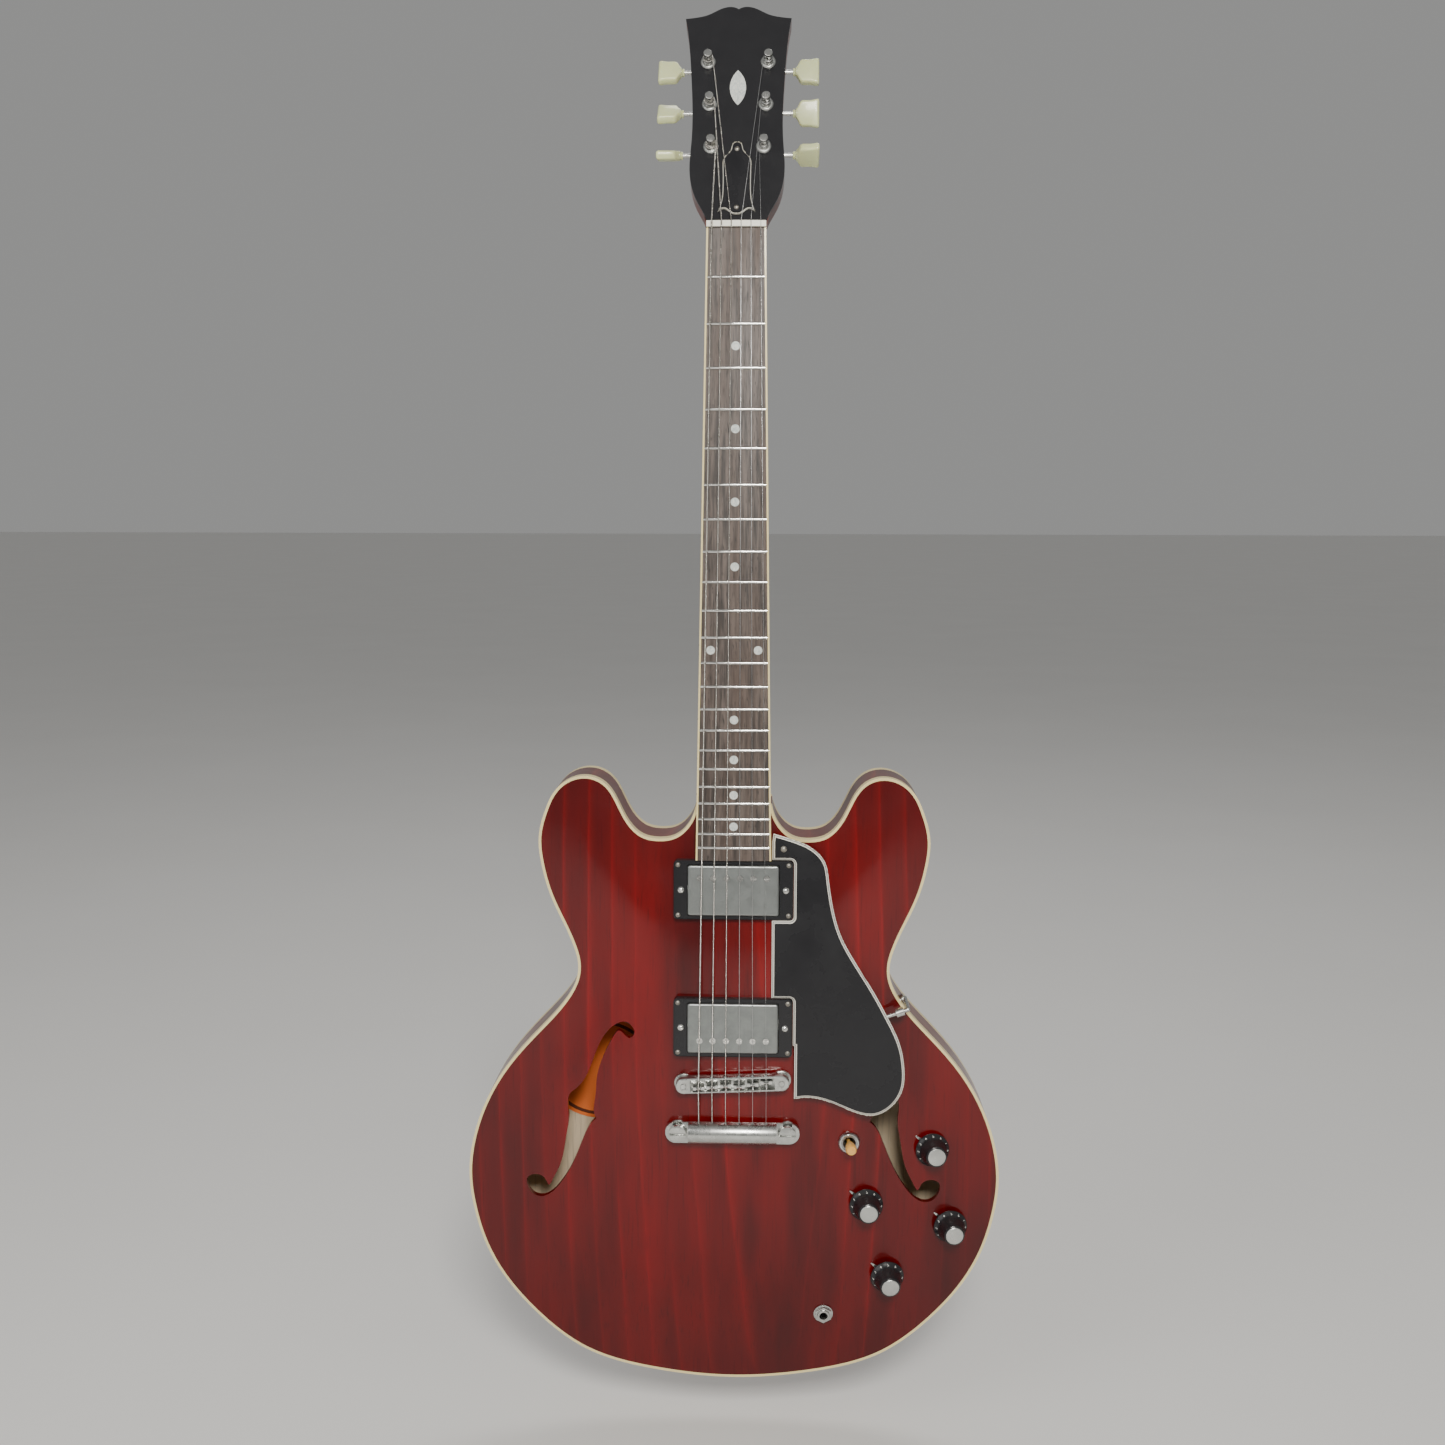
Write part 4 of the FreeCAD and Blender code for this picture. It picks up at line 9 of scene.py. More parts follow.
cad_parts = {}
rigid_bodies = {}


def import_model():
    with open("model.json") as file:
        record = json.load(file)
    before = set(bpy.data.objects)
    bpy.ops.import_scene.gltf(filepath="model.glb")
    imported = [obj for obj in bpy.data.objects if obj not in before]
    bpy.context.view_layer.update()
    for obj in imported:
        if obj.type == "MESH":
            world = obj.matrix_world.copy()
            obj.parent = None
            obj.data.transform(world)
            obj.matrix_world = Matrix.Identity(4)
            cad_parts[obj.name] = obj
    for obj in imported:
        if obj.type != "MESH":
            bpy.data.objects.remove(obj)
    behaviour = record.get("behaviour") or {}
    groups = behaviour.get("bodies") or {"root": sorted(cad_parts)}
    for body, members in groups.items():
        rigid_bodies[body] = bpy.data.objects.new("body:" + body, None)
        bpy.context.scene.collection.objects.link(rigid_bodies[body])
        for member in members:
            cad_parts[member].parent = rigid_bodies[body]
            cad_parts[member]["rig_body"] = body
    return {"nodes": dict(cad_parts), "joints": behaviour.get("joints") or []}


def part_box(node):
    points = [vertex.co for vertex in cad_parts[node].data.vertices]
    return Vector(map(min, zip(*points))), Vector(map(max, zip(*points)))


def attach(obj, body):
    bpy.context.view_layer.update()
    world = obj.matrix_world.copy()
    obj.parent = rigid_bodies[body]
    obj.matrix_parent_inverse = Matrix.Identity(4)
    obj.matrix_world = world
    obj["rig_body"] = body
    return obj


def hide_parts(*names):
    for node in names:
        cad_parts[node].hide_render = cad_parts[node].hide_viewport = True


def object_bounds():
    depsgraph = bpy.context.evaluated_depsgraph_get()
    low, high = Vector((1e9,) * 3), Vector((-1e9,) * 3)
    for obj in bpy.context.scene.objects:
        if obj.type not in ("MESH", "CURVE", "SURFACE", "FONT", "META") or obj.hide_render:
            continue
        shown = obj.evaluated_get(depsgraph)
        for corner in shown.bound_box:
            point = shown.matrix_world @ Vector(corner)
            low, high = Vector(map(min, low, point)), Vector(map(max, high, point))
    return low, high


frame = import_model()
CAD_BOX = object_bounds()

bl_info = {
    "name": "Semi-hollow guitar finish",
    "version": (1, 0, 0),
    "blender": (4, 5, 0),
    "location": "View3D > Sidebar > Guitar",
    "description": "Finished pieces, lacquer and metalwork for a semi-hollow electric guitar",
    "category": "Object",
}

MM = 0.001

# ---- the guitar's own frames, in metres ----
NECK_ANGLE = math.radians(3.6)
HEAD_PITCH = math.radians(17.0)
NUT_LENGTH = 4.2 * MM
NECK = Matrix.Rotation(math.pi / 2 - NECK_ANGLE, 4, "X")
HEAD = NECK @ Matrix.Translation((0, NUT_LENGTH + 0.2 * MM, 0)) @ Matrix.Rotation(-HEAD_PITCH, 4, "X")
VENEER = 1.5 * MM

# ---- strings: core facts that the frame's boxes don't hold ----
STRING_DIAMETERS = (1.17, 0.91, 0.66, 0.43, 0.33, 0.25)
WOUND_STRINGS = 3
NUT_SPREAD = 35.4 * MM
POST_RADIUS = 3.1 * MM
WIND_LIFTS = (4.1 * MM, 5.6 * MM, 5.6 * MM)
WIND_TURNS = 1.5
STRING_HOLE_SHARE = 0.45
SADDLE_GROOVE = 0.35 * MM
NUT_TOP = 7.6 * MM
BOARD_CROWN = 305 * MM
COIL_STEPS = 20
COIL_GAP = 0.08 * MM
POST_GAP = 0.05 * MM
BALL_DEPTH = 2.0 * MM

# ---- tuner keys: rest angle of each button about its shaft, in degrees ----
KEY_TURNS = (62.0, 30.0, 12.0, 78.0, 24.0, 5.0)

JOINTS = {joint["name"]: joint for joint in frame["joints"]}
KNOB_JOINTS = ("neck_volume_turn", "neck_tone_turn", "bridge_volume_turn", "bridge_tone_turn")


# ---- settings that a user would change ----


def colour_setting(name, description, default):
    return bpy.props.FloatVectorProperty(name=name, description=description, default=default,
                                         subtype="COLOR", size=3, min=0.0, max=1.0)


def length_setting(name, description, default):
    return bpy.props.FloatProperty(name=name, description=description, default=default,
                                   unit="LENGTH", subtype="DISTANCE", min=0.0)


class GuitarFinish(bpy.types.PropertyGroup):
    cherry_bright: colour_setting("Cherry, bright", "Stain where the light wood shows through",
                                  (0.21, 0.0005, 0.001))
    cherry_deep: colour_setting("Cherry, deep", "Stain in the rings of the figure", (0.06, 0.0002, 0.0005))
    cherry_side: colour_setting("Side stain", "Stain on the bent side and the neck", (0.16, 0.022, 0.01))
    binding: colour_setting("Binding", "Aged cream plastic of the bindings", (0.8, 0.66, 0.32))
    bare_wood: colour_setting("Bare wood", "Unfinished maple inside the body", (0.76, 0.62, 0.43))
    label: colour_setting("Label", "Plain paper label inside the body", (0.86, 0.19, 0.03))
    ink: colour_setting("Label border", "Printed line round the label", (0.12, 0.03, 0.01))
    rosewood: colour_setting("Rosewood", "Middle tone of the fingerboard", (0.072, 0.055, 0.046))
    pearl: colour_setting("Pearl", "Dots and the oval on the headstock", (0.62, 0.67, 0.64))
    nickel: colour_setting("Nickel", "Aged plate on the metalwork", (0.6, 0.61, 0.585))
    black: colour_setting("Black", "Plastic and lacquer", (0.009, 0.009, 0.011))
    ply_white: colour_setting("White ply", "Light plies at the edge of the guard", (0.82, 0.8, 0.72))
    button: colour_setting("Tuner buttons", "Aged plastic of the keystone buttons", (0.62, 0.66, 0.36))
    amber: colour_setting("Switch tip", "Amber plastic", (0.78, 0.42, 0.1))
    floor: colour_setting("Floor", "Pale floor under the guitar", (0.8, 0.79, 0.77))


class GuitarSizes(bpy.types.PropertyGroup):
    edge_break: length_setting("Edge break", "Softening of sharp metal and plastic edges", 0.25 * MM)
    guard_bevel: length_setting("Guard bevel", "Width of the bevel that shows the guard's plies", 2.3 * MM)
    cover_bevel: length_setting("Cover bevel", "Width of the truss rod cover's bevel", 1.1 * MM)
    numeral_height: length_setting("Numerals", "Height of the numbers on the knobs", 3.1 * MM)
    side_dot: length_setting("Side dot", "Radius of the dots in the board's binding", 0.9 * MM)
    winding_pitch: length_setting("Winding pitch", "Distance between turns of the wound strings", 0.42 * MM)
    string_segments: bpy.props.IntProperty(name="String sides", description="Sides of a string's section",
                                           default=10, min=6, max=32)
    knurl_count: bpy.props.IntProperty(name="Knurls", description="Ridges round a bridge wheel",
                                       default=56, min=12, max=120)


def sizes():
    return bpy.context.scene.guitar_sizes


def finish():
    return bpy.context.scene.guitar_finish


# ---- node trees ----


class Graph:
    """Adds nodes to a tree and joins them; a socket given as a value is linked."""

    def __init__(self, tree):
        self.tree = tree

    def node(self, kind, settings=None, by_place=None, **by_name):
        made = self.tree.nodes.new(kind)
        for key, value in (settings or {}).items():
            setattr(made, key, value)
        for place, value in (by_place or {}).items():
            self.feed(made.inputs[place], value)
        for key, value in by_name.items():
            self.feed(made.inputs[key.replace("_", " ")], value)
        return made

    def feed(self, socket, value):
        if isinstance(value, bpy.types.NodeSocket):
            self.tree.links.new(value, socket)
        else:
            socket.default_value = value

    def math(self, operation, a, b=0.0):
        made = self.node("ShaderNodeMath", {"operation": operation}, {0: a, 1: b})
        return made.outputs[0]

    def mix(self, share, a, b, blend="MIX"):
        made = self.node("ShaderNodeMix", {"data_type": "RGBA", "blend_type": blend}, {0: share, 6: a, 7: b})
        return made.outputs[2]

    def ramp(self, value, *stops):
        made = self.node("ShaderNodeValToRGB", None, {0: value})
        made.color_ramp.elements.remove(made.color_ramp.elements[1])
        made.color_ramp.elements[0].position = stops[0][0]
        made.color_ramp.elements[0].color = shade(stops[0][1])
        for place, tone in stops[1:]:
            made.color_ramp.elements.new(place).color = shade(tone)
        return made.outputs[0]

    def noise(self, vector, scale, detail=2.0, roughness=0.5, distortion=0.0):
        made = self.node("ShaderNodeTexNoise", Vector=vector, Scale=scale, Detail=detail,
                         Roughness=roughness, Distortion=distortion)
        return made.outputs[0]

    def mapped(self, vector, scale=(1, 1, 1), rotation=(0, 0, 0), location=(0, 0, 0)):
        made = self.node("ShaderNodeMapping", Vector=vector, Scale=scale, Rotation=rotation,
                         Location=location)
        return made.outputs[0]

    def place(self):
        return self.node("ShaderNodeTexCoord").outputs["Object"]

    def bump(self, height, distance, strength=1.0):
        made = self.node("ShaderNodeBump", Height=height, Distance=distance, Strength=strength)
        return made.outputs[0]


def shade(tone):
    """A four-number colour from a grey value or three numbers."""
    if isinstance(tone, (int, float)):
        return (tone, tone, tone, 1.0)
    return (tone[0], tone[1], tone[2], 1.0)


def scaled(tone, share):
    return shade([channel * share for channel in tone])


def new_group(name, kind, inputs, outputs):
    """A node group with named sockets: inputs and outputs are (name, socket type, default)."""
    tree = bpy.data.node_groups.new(name, kind)
    for label, socket, default in inputs:
        made = tree.interface.new_socket(label, in_out="INPUT", socket_type=socket)
        if default is not None:
            made.default_value = default
    for label, socket in outputs:
        tree.interface.new_socket(label, in_out="OUTPUT", socket_type=socket)
    graph = Graph(tree)
    return tree, graph, tree.nodes.new("NodeGroupInput").outputs, tree.nodes.new("NodeGroupOutput").inputs


FLOAT = "NodeSocketFloat"
VECTOR = "NodeSocketVector"


def wood_figure_group():
    """Nested arches of growth rings, a slow drift of tone, and fine pores along the grain."""
    tree, graph, given, put = new_group(
        "Wood figure", "ShaderNodeTree",
        [("Place", VECTOR, None), ("Centre", VECTOR, (0.0, 0.0, 0.0)), ("Rings Per Metre", FLOAT, 55.0),
         ("Stretch", FLOAT, 0.16), ("Wander", FLOAT, 1.6), ("Pore Scale", FLOAT, 700.0)],
        [("Rings", FLOAT), ("Drift", FLOAT), ("Pores", FLOAT)])
    centred = graph.node("ShaderNodeVectorMath", {"operation": "SUBTRACT"},
                         {0: given["Place"], 1: given["Centre"]}).outputs[0]
    squeeze = graph.node("ShaderNodeCombineXYZ", X=1.0, Y=1.0, Z=given["Stretch"]).outputs[0]
    along = graph.node("ShaderNodeVectorMath", {"operation": "MULTIPLY"}, {0: centred, 1: squeeze}).outputs[0]
    reach = graph.node("ShaderNodeVectorMath", {"operation": "LENGTH"}, {0: along}).outputs["Value"]
    slow = graph.noise(along, 9.0, 2.0, 0.45)
    field = graph.math("ADD", graph.math("MULTIPLY", reach, given["Rings Per Metre"]),
                       graph.math("MULTIPLY", slow, given["Wander"]))
    wave = graph.math("FRACT", field)
    rise = graph.math("POWER", wave, 9.0)
    fall = graph.math("POWER", graph.math("SUBTRACT", 1.0, wave), 22.0)
    patchy = graph.node("ShaderNodeMapRange", Value=graph.noise(along, 17.0, 1.0), From_Min=0.36,
                        From_Max=0.66).outputs[0]
    graph.feed(put["Rings"], graph.math("MULTIPLY", graph.math("ADD", rise, fall), patchy))
    graph.feed(put["Drift"], graph.noise(along, 21.0, 3.0, 0.55))
    fine = graph.mapped(given["Place"], (1.0, 1.0, 0.03))
    pores = graph.noise(fine, given["Pore Scale"], 2.0, 0.6)
    graph.feed(put["Pores"], graph.node("ShaderNodeMapRange", Value=pores, From_Min=0.56,
                                        From_Max=0.72).outputs[0])
    return tree


def handling_group():
    """Smudges, and fine scratches in two directions."""
    tree, graph, given, put = new_group(
        "Handling marks", "ShaderNodeTree",
        [("Place", VECTOR, None), ("Smudge Scale", FLOAT, 60.0), ("Scratch Scale", FLOAT, 90.0)],
        [("Smudge", FLOAT), ("Scratches", FLOAT)])
    graph.feed(put["Smudge"], graph.noise(given["Place"], given["Smudge Scale"], 4.0, 0.6, 0.4))
    lines = []
    for turn in (0.5, -1.1):
        leaning = graph.mapped(given["Place"], (1.0, 1.0, 0.05), (0.3, turn, 0.0))
        thread = graph.noise(leaning, given["Scratch Scale"], 3.0, 0.7)
        off = graph.math("ABSOLUTE", graph.math("SUBTRACT", thread, 0.5))
        lines.append(graph.node("ShaderNodeMapRange", Value=off, From_Min=0.0, From_Max=0.012,
                                To_Min=1.0, To_Max=0.0).outputs[0])
    graph.feed(put["Scratches"], graph.math("MAXIMUM", lines[0], lines[1]))
    return tree


def dust_group():
    """Settled dust: faces that look up, broken by specks."""
    tree, graph, given, put = new_group(
        "Settled dust", "ShaderNodeTree",
        [("Place", VECTOR, None), ("Speck Scale", FLOAT, 900.0)], [("Dust", FLOAT)])
    normal = graph.node("ShaderNodeNewGeometry").outputs["Normal"]
    upward = graph.node("ShaderNodeSeparateXYZ", Vector=normal).outputs["Z"]
    facing = graph.node("ShaderNodeMapRange", Value=upward, From_Min=0.2, From_Max=1.0).outputs[0]
    specks = graph.noise(given["Place"], given["Speck Scale"], 2.0, 0.7)
    graph.feed(put["Dust"], graph.math("MULTIPLY", facing, specks))
    return tree


def group_node(graph, tree, **inputs):
    made = graph.tree.nodes.new("ShaderNodeGroup")
    made.node_tree = tree
    for key, value in inputs.items():
        graph.feed(made.inputs[key.replace("_", " ")], value)
    return made.outputs


GROUPS = {}


def shared(name, make):
    if name not in GROUPS:
        GROUPS[name] = make()
    return GROUPS[name]


def figure(graph, **inputs):
    return group_node(graph, shared("figure", wood_figure_group), Place=graph.place(), **inputs)


def handling(graph, **inputs):
    return group_node(graph, shared("handling", handling_group), Place=graph.place(), **inputs)


def dust(graph):
    return group_node(graph, shared("dust", dust_group), Place=graph.place())["Dust"]


def new_material(name, **constants):
    """A Principled material; keyword names are its sockets, with spaces as underscores."""
    material = bpy.data.materials.new(name)
    material.use_nodes = True
    tree = material.node_tree
    shader = tree.nodes["Principled BSDF"]
    for key, value in constants.items():
        shader.inputs[key.replace("_", " ")].default_value = value
    return material, Graph(tree), shader.inputs


# ---- materials ----


def lacquered_wood(name, bright, deep, edge_share, **rings):
    """Stained wood under gloss lacquer, darker towards the rim of the body."""
    material, graph, into = new_material(name, Roughness=0.32, Coat_Weight=0.5, Coat_Roughness=0.05,
                                         Specular_IOR_Level=0.2)
    seen = figure(graph, **rings)
    tone = graph.mix(graph.ramp(seen["Drift"], (0.32, 0.0), (0.7, 1.0)), shade(deep), shade(bright))
    tone = graph.mix(graph.math("MULTIPLY", seen["Rings"], 0.5), tone, scaled(bright, 2.1))
    tone = graph.mix(graph.math("MULTIPLY", seen["Pores"], 0.35), tone, scaled(deep, 0.5))
    centred = graph.mapped(graph.place(), (4.6, 0.0, 3.6), (0, 0, 0), (0.0, 0.0, 2.32))
    reach = graph.node("ShaderNodeVectorMath", {"operation": "LENGTH"}, {0: centred}).outputs["Value"]
    edge = graph.node("ShaderNodeMapRange", Value=reach, From_Min=0.3, From_Max=1.05,
                      To_Max=edge_share).outputs[0]
    tone = graph.mix(edge, tone, scaled(deep, 0.75))
    graph.feed(into["Base Color"], tone)
    marks = handling(graph, Smudge_Scale=26.0)
    graph.feed(into["Roughness"], graph.ramp(marks["Smudge"], (0.3, 0.28), (0.75, 0.4)))
    ripple = graph.math("ADD", graph.math("MULTIPLY", seen["Pores"], -0.5), seen["Drift"])
    graph.feed(into["Normal"], graph.bump(ripple, 0.00003, 0.5))
    return material


def bare_wood(name, tone):
    material, graph, into = new_material(name, Roughness=0.72)
    seen = figure(graph, Rings_Per_Metre=90.0, Stretch=0.08)
    wood = graph.mix(graph.math("MULTIPLY", seen["Rings"], 0.6), shade(tone), scaled(tone, 0.7))
    wood = graph.mix(graph.math("MULTIPLY", seen["Pores"], 0.5), wood, scaled(tone, 0.45))
    graph.feed(into["Base Color"], wood)
    graph.feed(into["Normal"], graph.bump(seen["Pores"], -0.00005, 0.7))
    return material


def rosewood():
    """Open-grained board: grey-brown with dark and warm streaks along its length."""
    tone = finish().rosewood
    material, graph, into = new_material("rosewood", Roughness=0.5)
    place = graph.place()
    streak = graph.noise(graph.mapped(place, (1.0, 1.0, 0.018)), 330.0, 3.0, 0.62)
    broad = graph.noise(graph.mapped(place, (1.0, 1.0, 0.05)), 85.0, 2.0, 0.5)
    wood = graph.mix(graph.ramp(streak, (0.38, 0.0), (0.62, 1.0)), scaled(tone, 0.42), scaled(tone, 1.75))
    wood = graph.mix(graph.ramp(broad, (0.44, 0.0), (0.66, 0.5)), wood, shade((0.085, 0.05, 0.034)))
    pores = graph.noise(graph.mapped(place, (1.0, 1.0, 0.05)), 1500.0, 2.0, 0.6)
    pits = graph.ramp(pores, (0.6, 0.0), (0.7, 1.0))
    graph.feed(into["Base Color"], graph.mix(pits, wood, scaled(tone, 0.2)))
    graph.feed(into["Roughness"], graph.ramp(broad, (0.3, 0.42), (0.7, 0.58)))
    graph.feed(into["Normal"], graph.bump(pits, -0.00006, 0.8))
    return material


def plastic(name, tone, roughness, mottle=0.12, subsurface=0.0, coat=0.0):
    """Moulded plastic: faint mottle, smudges and scuffs."""
    material, graph, into = new_material(name, Coat_Weight=coat, Coat_Roughness=0.08,
                                         Subsurface_Weight=subsurface, Subsurface_Scale=0.003,
                                         Subsurface_Radius=(1.0, 0.8, 0.4))
    marks = handling(graph, Smudge_Scale=70.0, Scratch_Scale=160.0)
    cloudy = graph.mix(graph.math("MULTIPLY", marks["Smudge"], mottle), shade(tone),
                       scaled([channel + 0.02 for channel in tone], 1.3))
    graph.feed(into["Base Color"], graph.mix(graph.math("MULTIPLY", dust(graph), 0.05), cloudy,
                                             shade((0.45, 0.42, 0.38))))
    rough = graph.math("ADD", roughness - 0.05, graph.math("MULTIPLY", marks["Smudge"], 0.14))
    graph.feed(into["Roughness"], rough)
    graph.feed(into["Normal"], graph.bump(marks["Scratches"], -0.000006, 0.5))
    return material


def metal(name, tone, roughness, tarnish=0.35, spun=None):
    """Plated metal with cloudy tarnish and hairlines; spun gives rings about a frame's z axis."""
    material, graph, into = new_material(name, Metallic=1.0)
    marks = handling(graph, Smudge_Scale=110.0, Scratch_Scale=240.0)
    cloud = graph.ramp(marks["Smudge"], (0.35, 0.0), (0.7, 1.0))
    graph.feed(into["Base Color"], graph.mix(graph.math("MULTIPLY", cloud, tarnish), shade(tone),
                                             scaled(tone, 0.55)))
    rough = graph.math("ADD", roughness - 0.06, graph.math("MULTIPLY", cloud, 0.16))
    rough = graph.math("ADD", rough, graph.math("MULTIPLY", marks["Scratches"], 0.08))
    graph.feed(into["Roughness"], rough)
    height = marks["Scratches"]
    depth = -0.000004
    if spun is not None:
        offset = graph.node("ShaderNodeVectorMath", {"operation": "SUBTRACT"},
                            {0: graph.place(), 1: spun.translation}).outputs[0]
        axis = spun.to_3x3() @ Vector((0, 0, 1))
        across = graph.node("ShaderNodeVectorMath", {"operation": "CROSS_PRODUCT"}, {0: offset, 1: axis})
        radius = graph.node("ShaderNodeVectorMath", {"operation": "LENGTH"},
                            {0: across.outputs[0]}).outputs["Value"]
        height = graph.math("SINE", graph.math("MULTIPLY", radius, 2 * math.pi / (0.28 * MM)))
        depth = 0.000008
    graph.feed(into["Normal"], graph.bump(height, depth, 0.6))
    return material


def pearl():
    tone = finish().pearl
    material, graph, into = new_material("pearl", Roughness=0.18, Coat_Weight=0.6, Coat_Roughness=0.05)
    place = graph.place()
    swirl = graph.noise(graph.mapped(place, (1.0, 1.0, 0.5), (0.0, 0.6, 0.0)), 520.0, 3.0, 0.6, 1.6)
    shell = graph.ramp(swirl, (0.3, scaled(tone, 0.72)), (0.48, tone), (0.6, (0.8, 0.78, 0.7)),
                       (0.72, (0.5, 0.66, 0.72)))
    graph.feed(into["Base Color"], shell)
    graph.feed(into["Roughness"], graph.ramp(swirl, (0.3, 0.14), (0.7, 0.3)))
    return material


def string_metal(name, tone, wound):
    """Plain wire, or a core wrapped in fine round wire; 'along' is the length from the ball."""
    material, graph, into = new_material(name, Metallic=1.0)
    marks = handling(graph, Smudge_Scale=40.0, Scratch_Scale=300.0)
    graph.feed(into["Base Color"], graph.mix(graph.math("MULTIPLY", marks["Smudge"], 0.5), shade(tone),
                                             scaled(tone, 0.6)))
    graph.feed(into["Roughness"], graph.ramp(marks["Smudge"], (0.3, 0.2), (0.7, 0.34)))
    if wound:
        along = graph.node("ShaderNodeAttribute", {"attribute_name": "along"}).outputs["Fac"]
        turns = graph.math("MULTIPLY", along, 2 * math.pi / sizes().winding_pitch)
        graph.feed(into["Normal"], graph.bump(graph.math("SINE", turns), 0.00005, 0.9))
    return material


def plies(name, low, high, up, layers):
    """Laminated plastic: flat layers stacked along 'up' between two heights, seen at a bevel."""
    material, graph, into = new_material(name, Specular_IOR_Level=0.3)
    height = graph.node("ShaderNodeVectorMath", {"operation": "DOT_PRODUCT"},
                        {0: graph.place(), 1: up}).outputs["Value"]
    share = graph.node("ShaderNodeMapRange", Value=height, From_Min=low, From_Max=high).outputs[0]
    stack = graph.node("ShaderNodeValToRGB", None, {0: share})
    stack.color_ramp.interpolation = "CONSTANT"
    stack.color_ramp.elements.remove(stack.color_ramp.elements[1])
    stack.color_ramp.elements[0].color = shade(layers[0][1])
    for place, tone in layers[1:]:
        stack.color_ramp.elements.new(place).color = shade(tone)
    marks = handling(graph, Smudge_Scale=34.0, Scratch_Scale=130.0)
    worn = graph.mix(graph.math("MULTIPLY", marks["Smudge"], 0.06), stack.outputs[0], shade(0.25))
    graph.feed(into["Base Color"], worn)
    graph.feed(into["Roughness"], graph.ramp(marks["Smudge"], (0.3, 0.2), (0.72, 0.36)))
    graph.feed(into["Normal"], graph.bump(marks["Scratches"], -0.000008, 0.6))
    return material


MATERIALS = {}


def material(name):
    """The finished material of that name, made once."""
    if name not in MATERIALS:
        MATERIALS[name] = MATERIAL_MAKERS[name]()
    return MATERIALS[name]


MATERIAL_MAKERS = {
    "cherry_top": lambda: lacquered_wood("cherry_top", finish().cherry_bright, finish().cherry_deep, 0.62,
                                         Centre=(0.03, 0.0, -0.6), Rings_Per_Metre=58.0, Stretch=0.17),
    "cherry_side": lambda: lacquered_wood("cherry_side", finish().cherry_side,
                                          [c * 0.5 for c in finish().cherry_side], 0.0,
                                          Rings_Per_Metre=70.0, Stretch=0.3),
    "cherry_neck": lambda: lacquered_wood("cherry_neck", finish().cherry_side,
                                          [c * 0.4 for c in finish().cherry_side], 0.0,
                                          Rings_Per_Metre=160.0, Stretch=0.04),
    "bare_wood": lambda: bare_wood("bare_wood", finish().bare_wood),
    "rosewood": rosewood,
    "pearl": pearl,
    "binding": lambda: plastic("binding", finish().binding, 0.3, 0.3, 0.08, 0.3),
    "ivory": lambda: plastic("ivory", (0.8, 0.78, 0.68), 0.35, 0.2, 0.1),
    "black_plastic": lambda: plastic("black_plastic", finish().black, 0.24),
    "black_lacquer": lambda: plastic("black_lacquer", finish().black, 0.2, 0.1, 0.0, 0.4),
    "numeral_paint": lambda: plastic("numeral_paint", (0.72, 0.72, 0.68), 0.5),
    "button_plastic": lambda: plastic("button_plastic", finish().button, 0.32, 0.35, 0.25, 0.2),
    "amber_plastic": lambda: plastic("amber_plastic", finish().amber, 0.3, 0.3, 0.25, 0.2),
    "paper": lambda: plastic("paper", finish().label, 0.8, 0.4),
    "ink": lambda: plastic("ink", finish().ink, 0.8),
    "nickel": lambda: metal("nickel", finish().nickel, 0.26),
    "cover_nickel": lambda: metal("cover_nickel", (0.34, 0.36, 0.35), 0.34, 0.4),
    "bright_nickel": lambda: metal("bright_nickel", (0.7, 0.7, 0.67), 0.17, 0.2),
    "fret_wire": lambda: metal("fret_wire", (0.72, 0.71, 0.68), 0.16, 0.15),
    "steel": lambda: metal("steel", (0.42, 0.42, 0.42), 0.35, 0.4),
    "aged_screw": lambda: metal("aged_screw", (0.34, 0.32, 0.28), 0.42, 0.6),
    "wound_string": lambda: string_metal("wound_string", (0.66, 0.63, 0.58), True),
    "plain_string": lambda: string_metal("plain_string", (0.62, 0.62, 0.62), False),
}


# ---- meshes ----


def mesh_from(name, vertices, faces):
    mesh = bpy.data.meshes.new(name)
    mesh.from_pydata([tuple(vertex) for vertex in vertices], [], faces)
    return mesh


def new_piece(name, mesh, body, finish_name, *replaced):
    """Puts a finished mesh on a body, with its material; replaced are the CAD nodes it stands for."""
    piece = bpy.data.objects.new(name, mesh)
    bpy.context.scene.collection.objects.link(piece)
    if finish_name:
        mesh.materials.clear()
        mesh.materials.append(material(finish_name))
    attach(piece, body)
    if replaced:
        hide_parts(*replaced)
    return piece


def body_of_node(node):
    return frame["nodes"][node]["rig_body"]


def soften(bm, angle):
    """Smooth shading with creases where faces meet at more than angle."""
    for face in bm.faces:
        face.smooth = True
    for edge in bm.edges:
        edge.smooth = not (len(edge.link_faces) == 2 and edge.calc_face_angle(0.0) > angle)


def welded(node, flat_limit=None):
    """A closed copy of a CAD node's mesh; flat_limit joins its coplanar triangles into faces."""
    bm = bmesh.new()
    bm.from_mesh(frame["nodes"][node].data)
    bmesh.ops.remove_doubles(bm, verts=bm.verts, dist=0.000002)
    if flat_limit is not None:
        bmesh.ops.dissolve_limit(bm, angle_limit=flat_limit, verts=bm.verts, edges=bm.edges)
    return bm


def bevelled(mesh, width, limit=math.radians(38)):
    """The mesh with its sharp edges broken by a small round bevel."""
    holder = bpy.data.objects.new("bevel_holder", mesh)
    bpy.context.scene.collection.objects.link(holder)
    bevel = holder.modifiers.new("edge_break", "BEVEL")
    bevel.width = width
    bevel.segments = 2
    bevel.limit_method = "ANGLE"
    bevel.angle_limit = limit
    bevel.use_clamp_overlap = True
    return applied(holder)


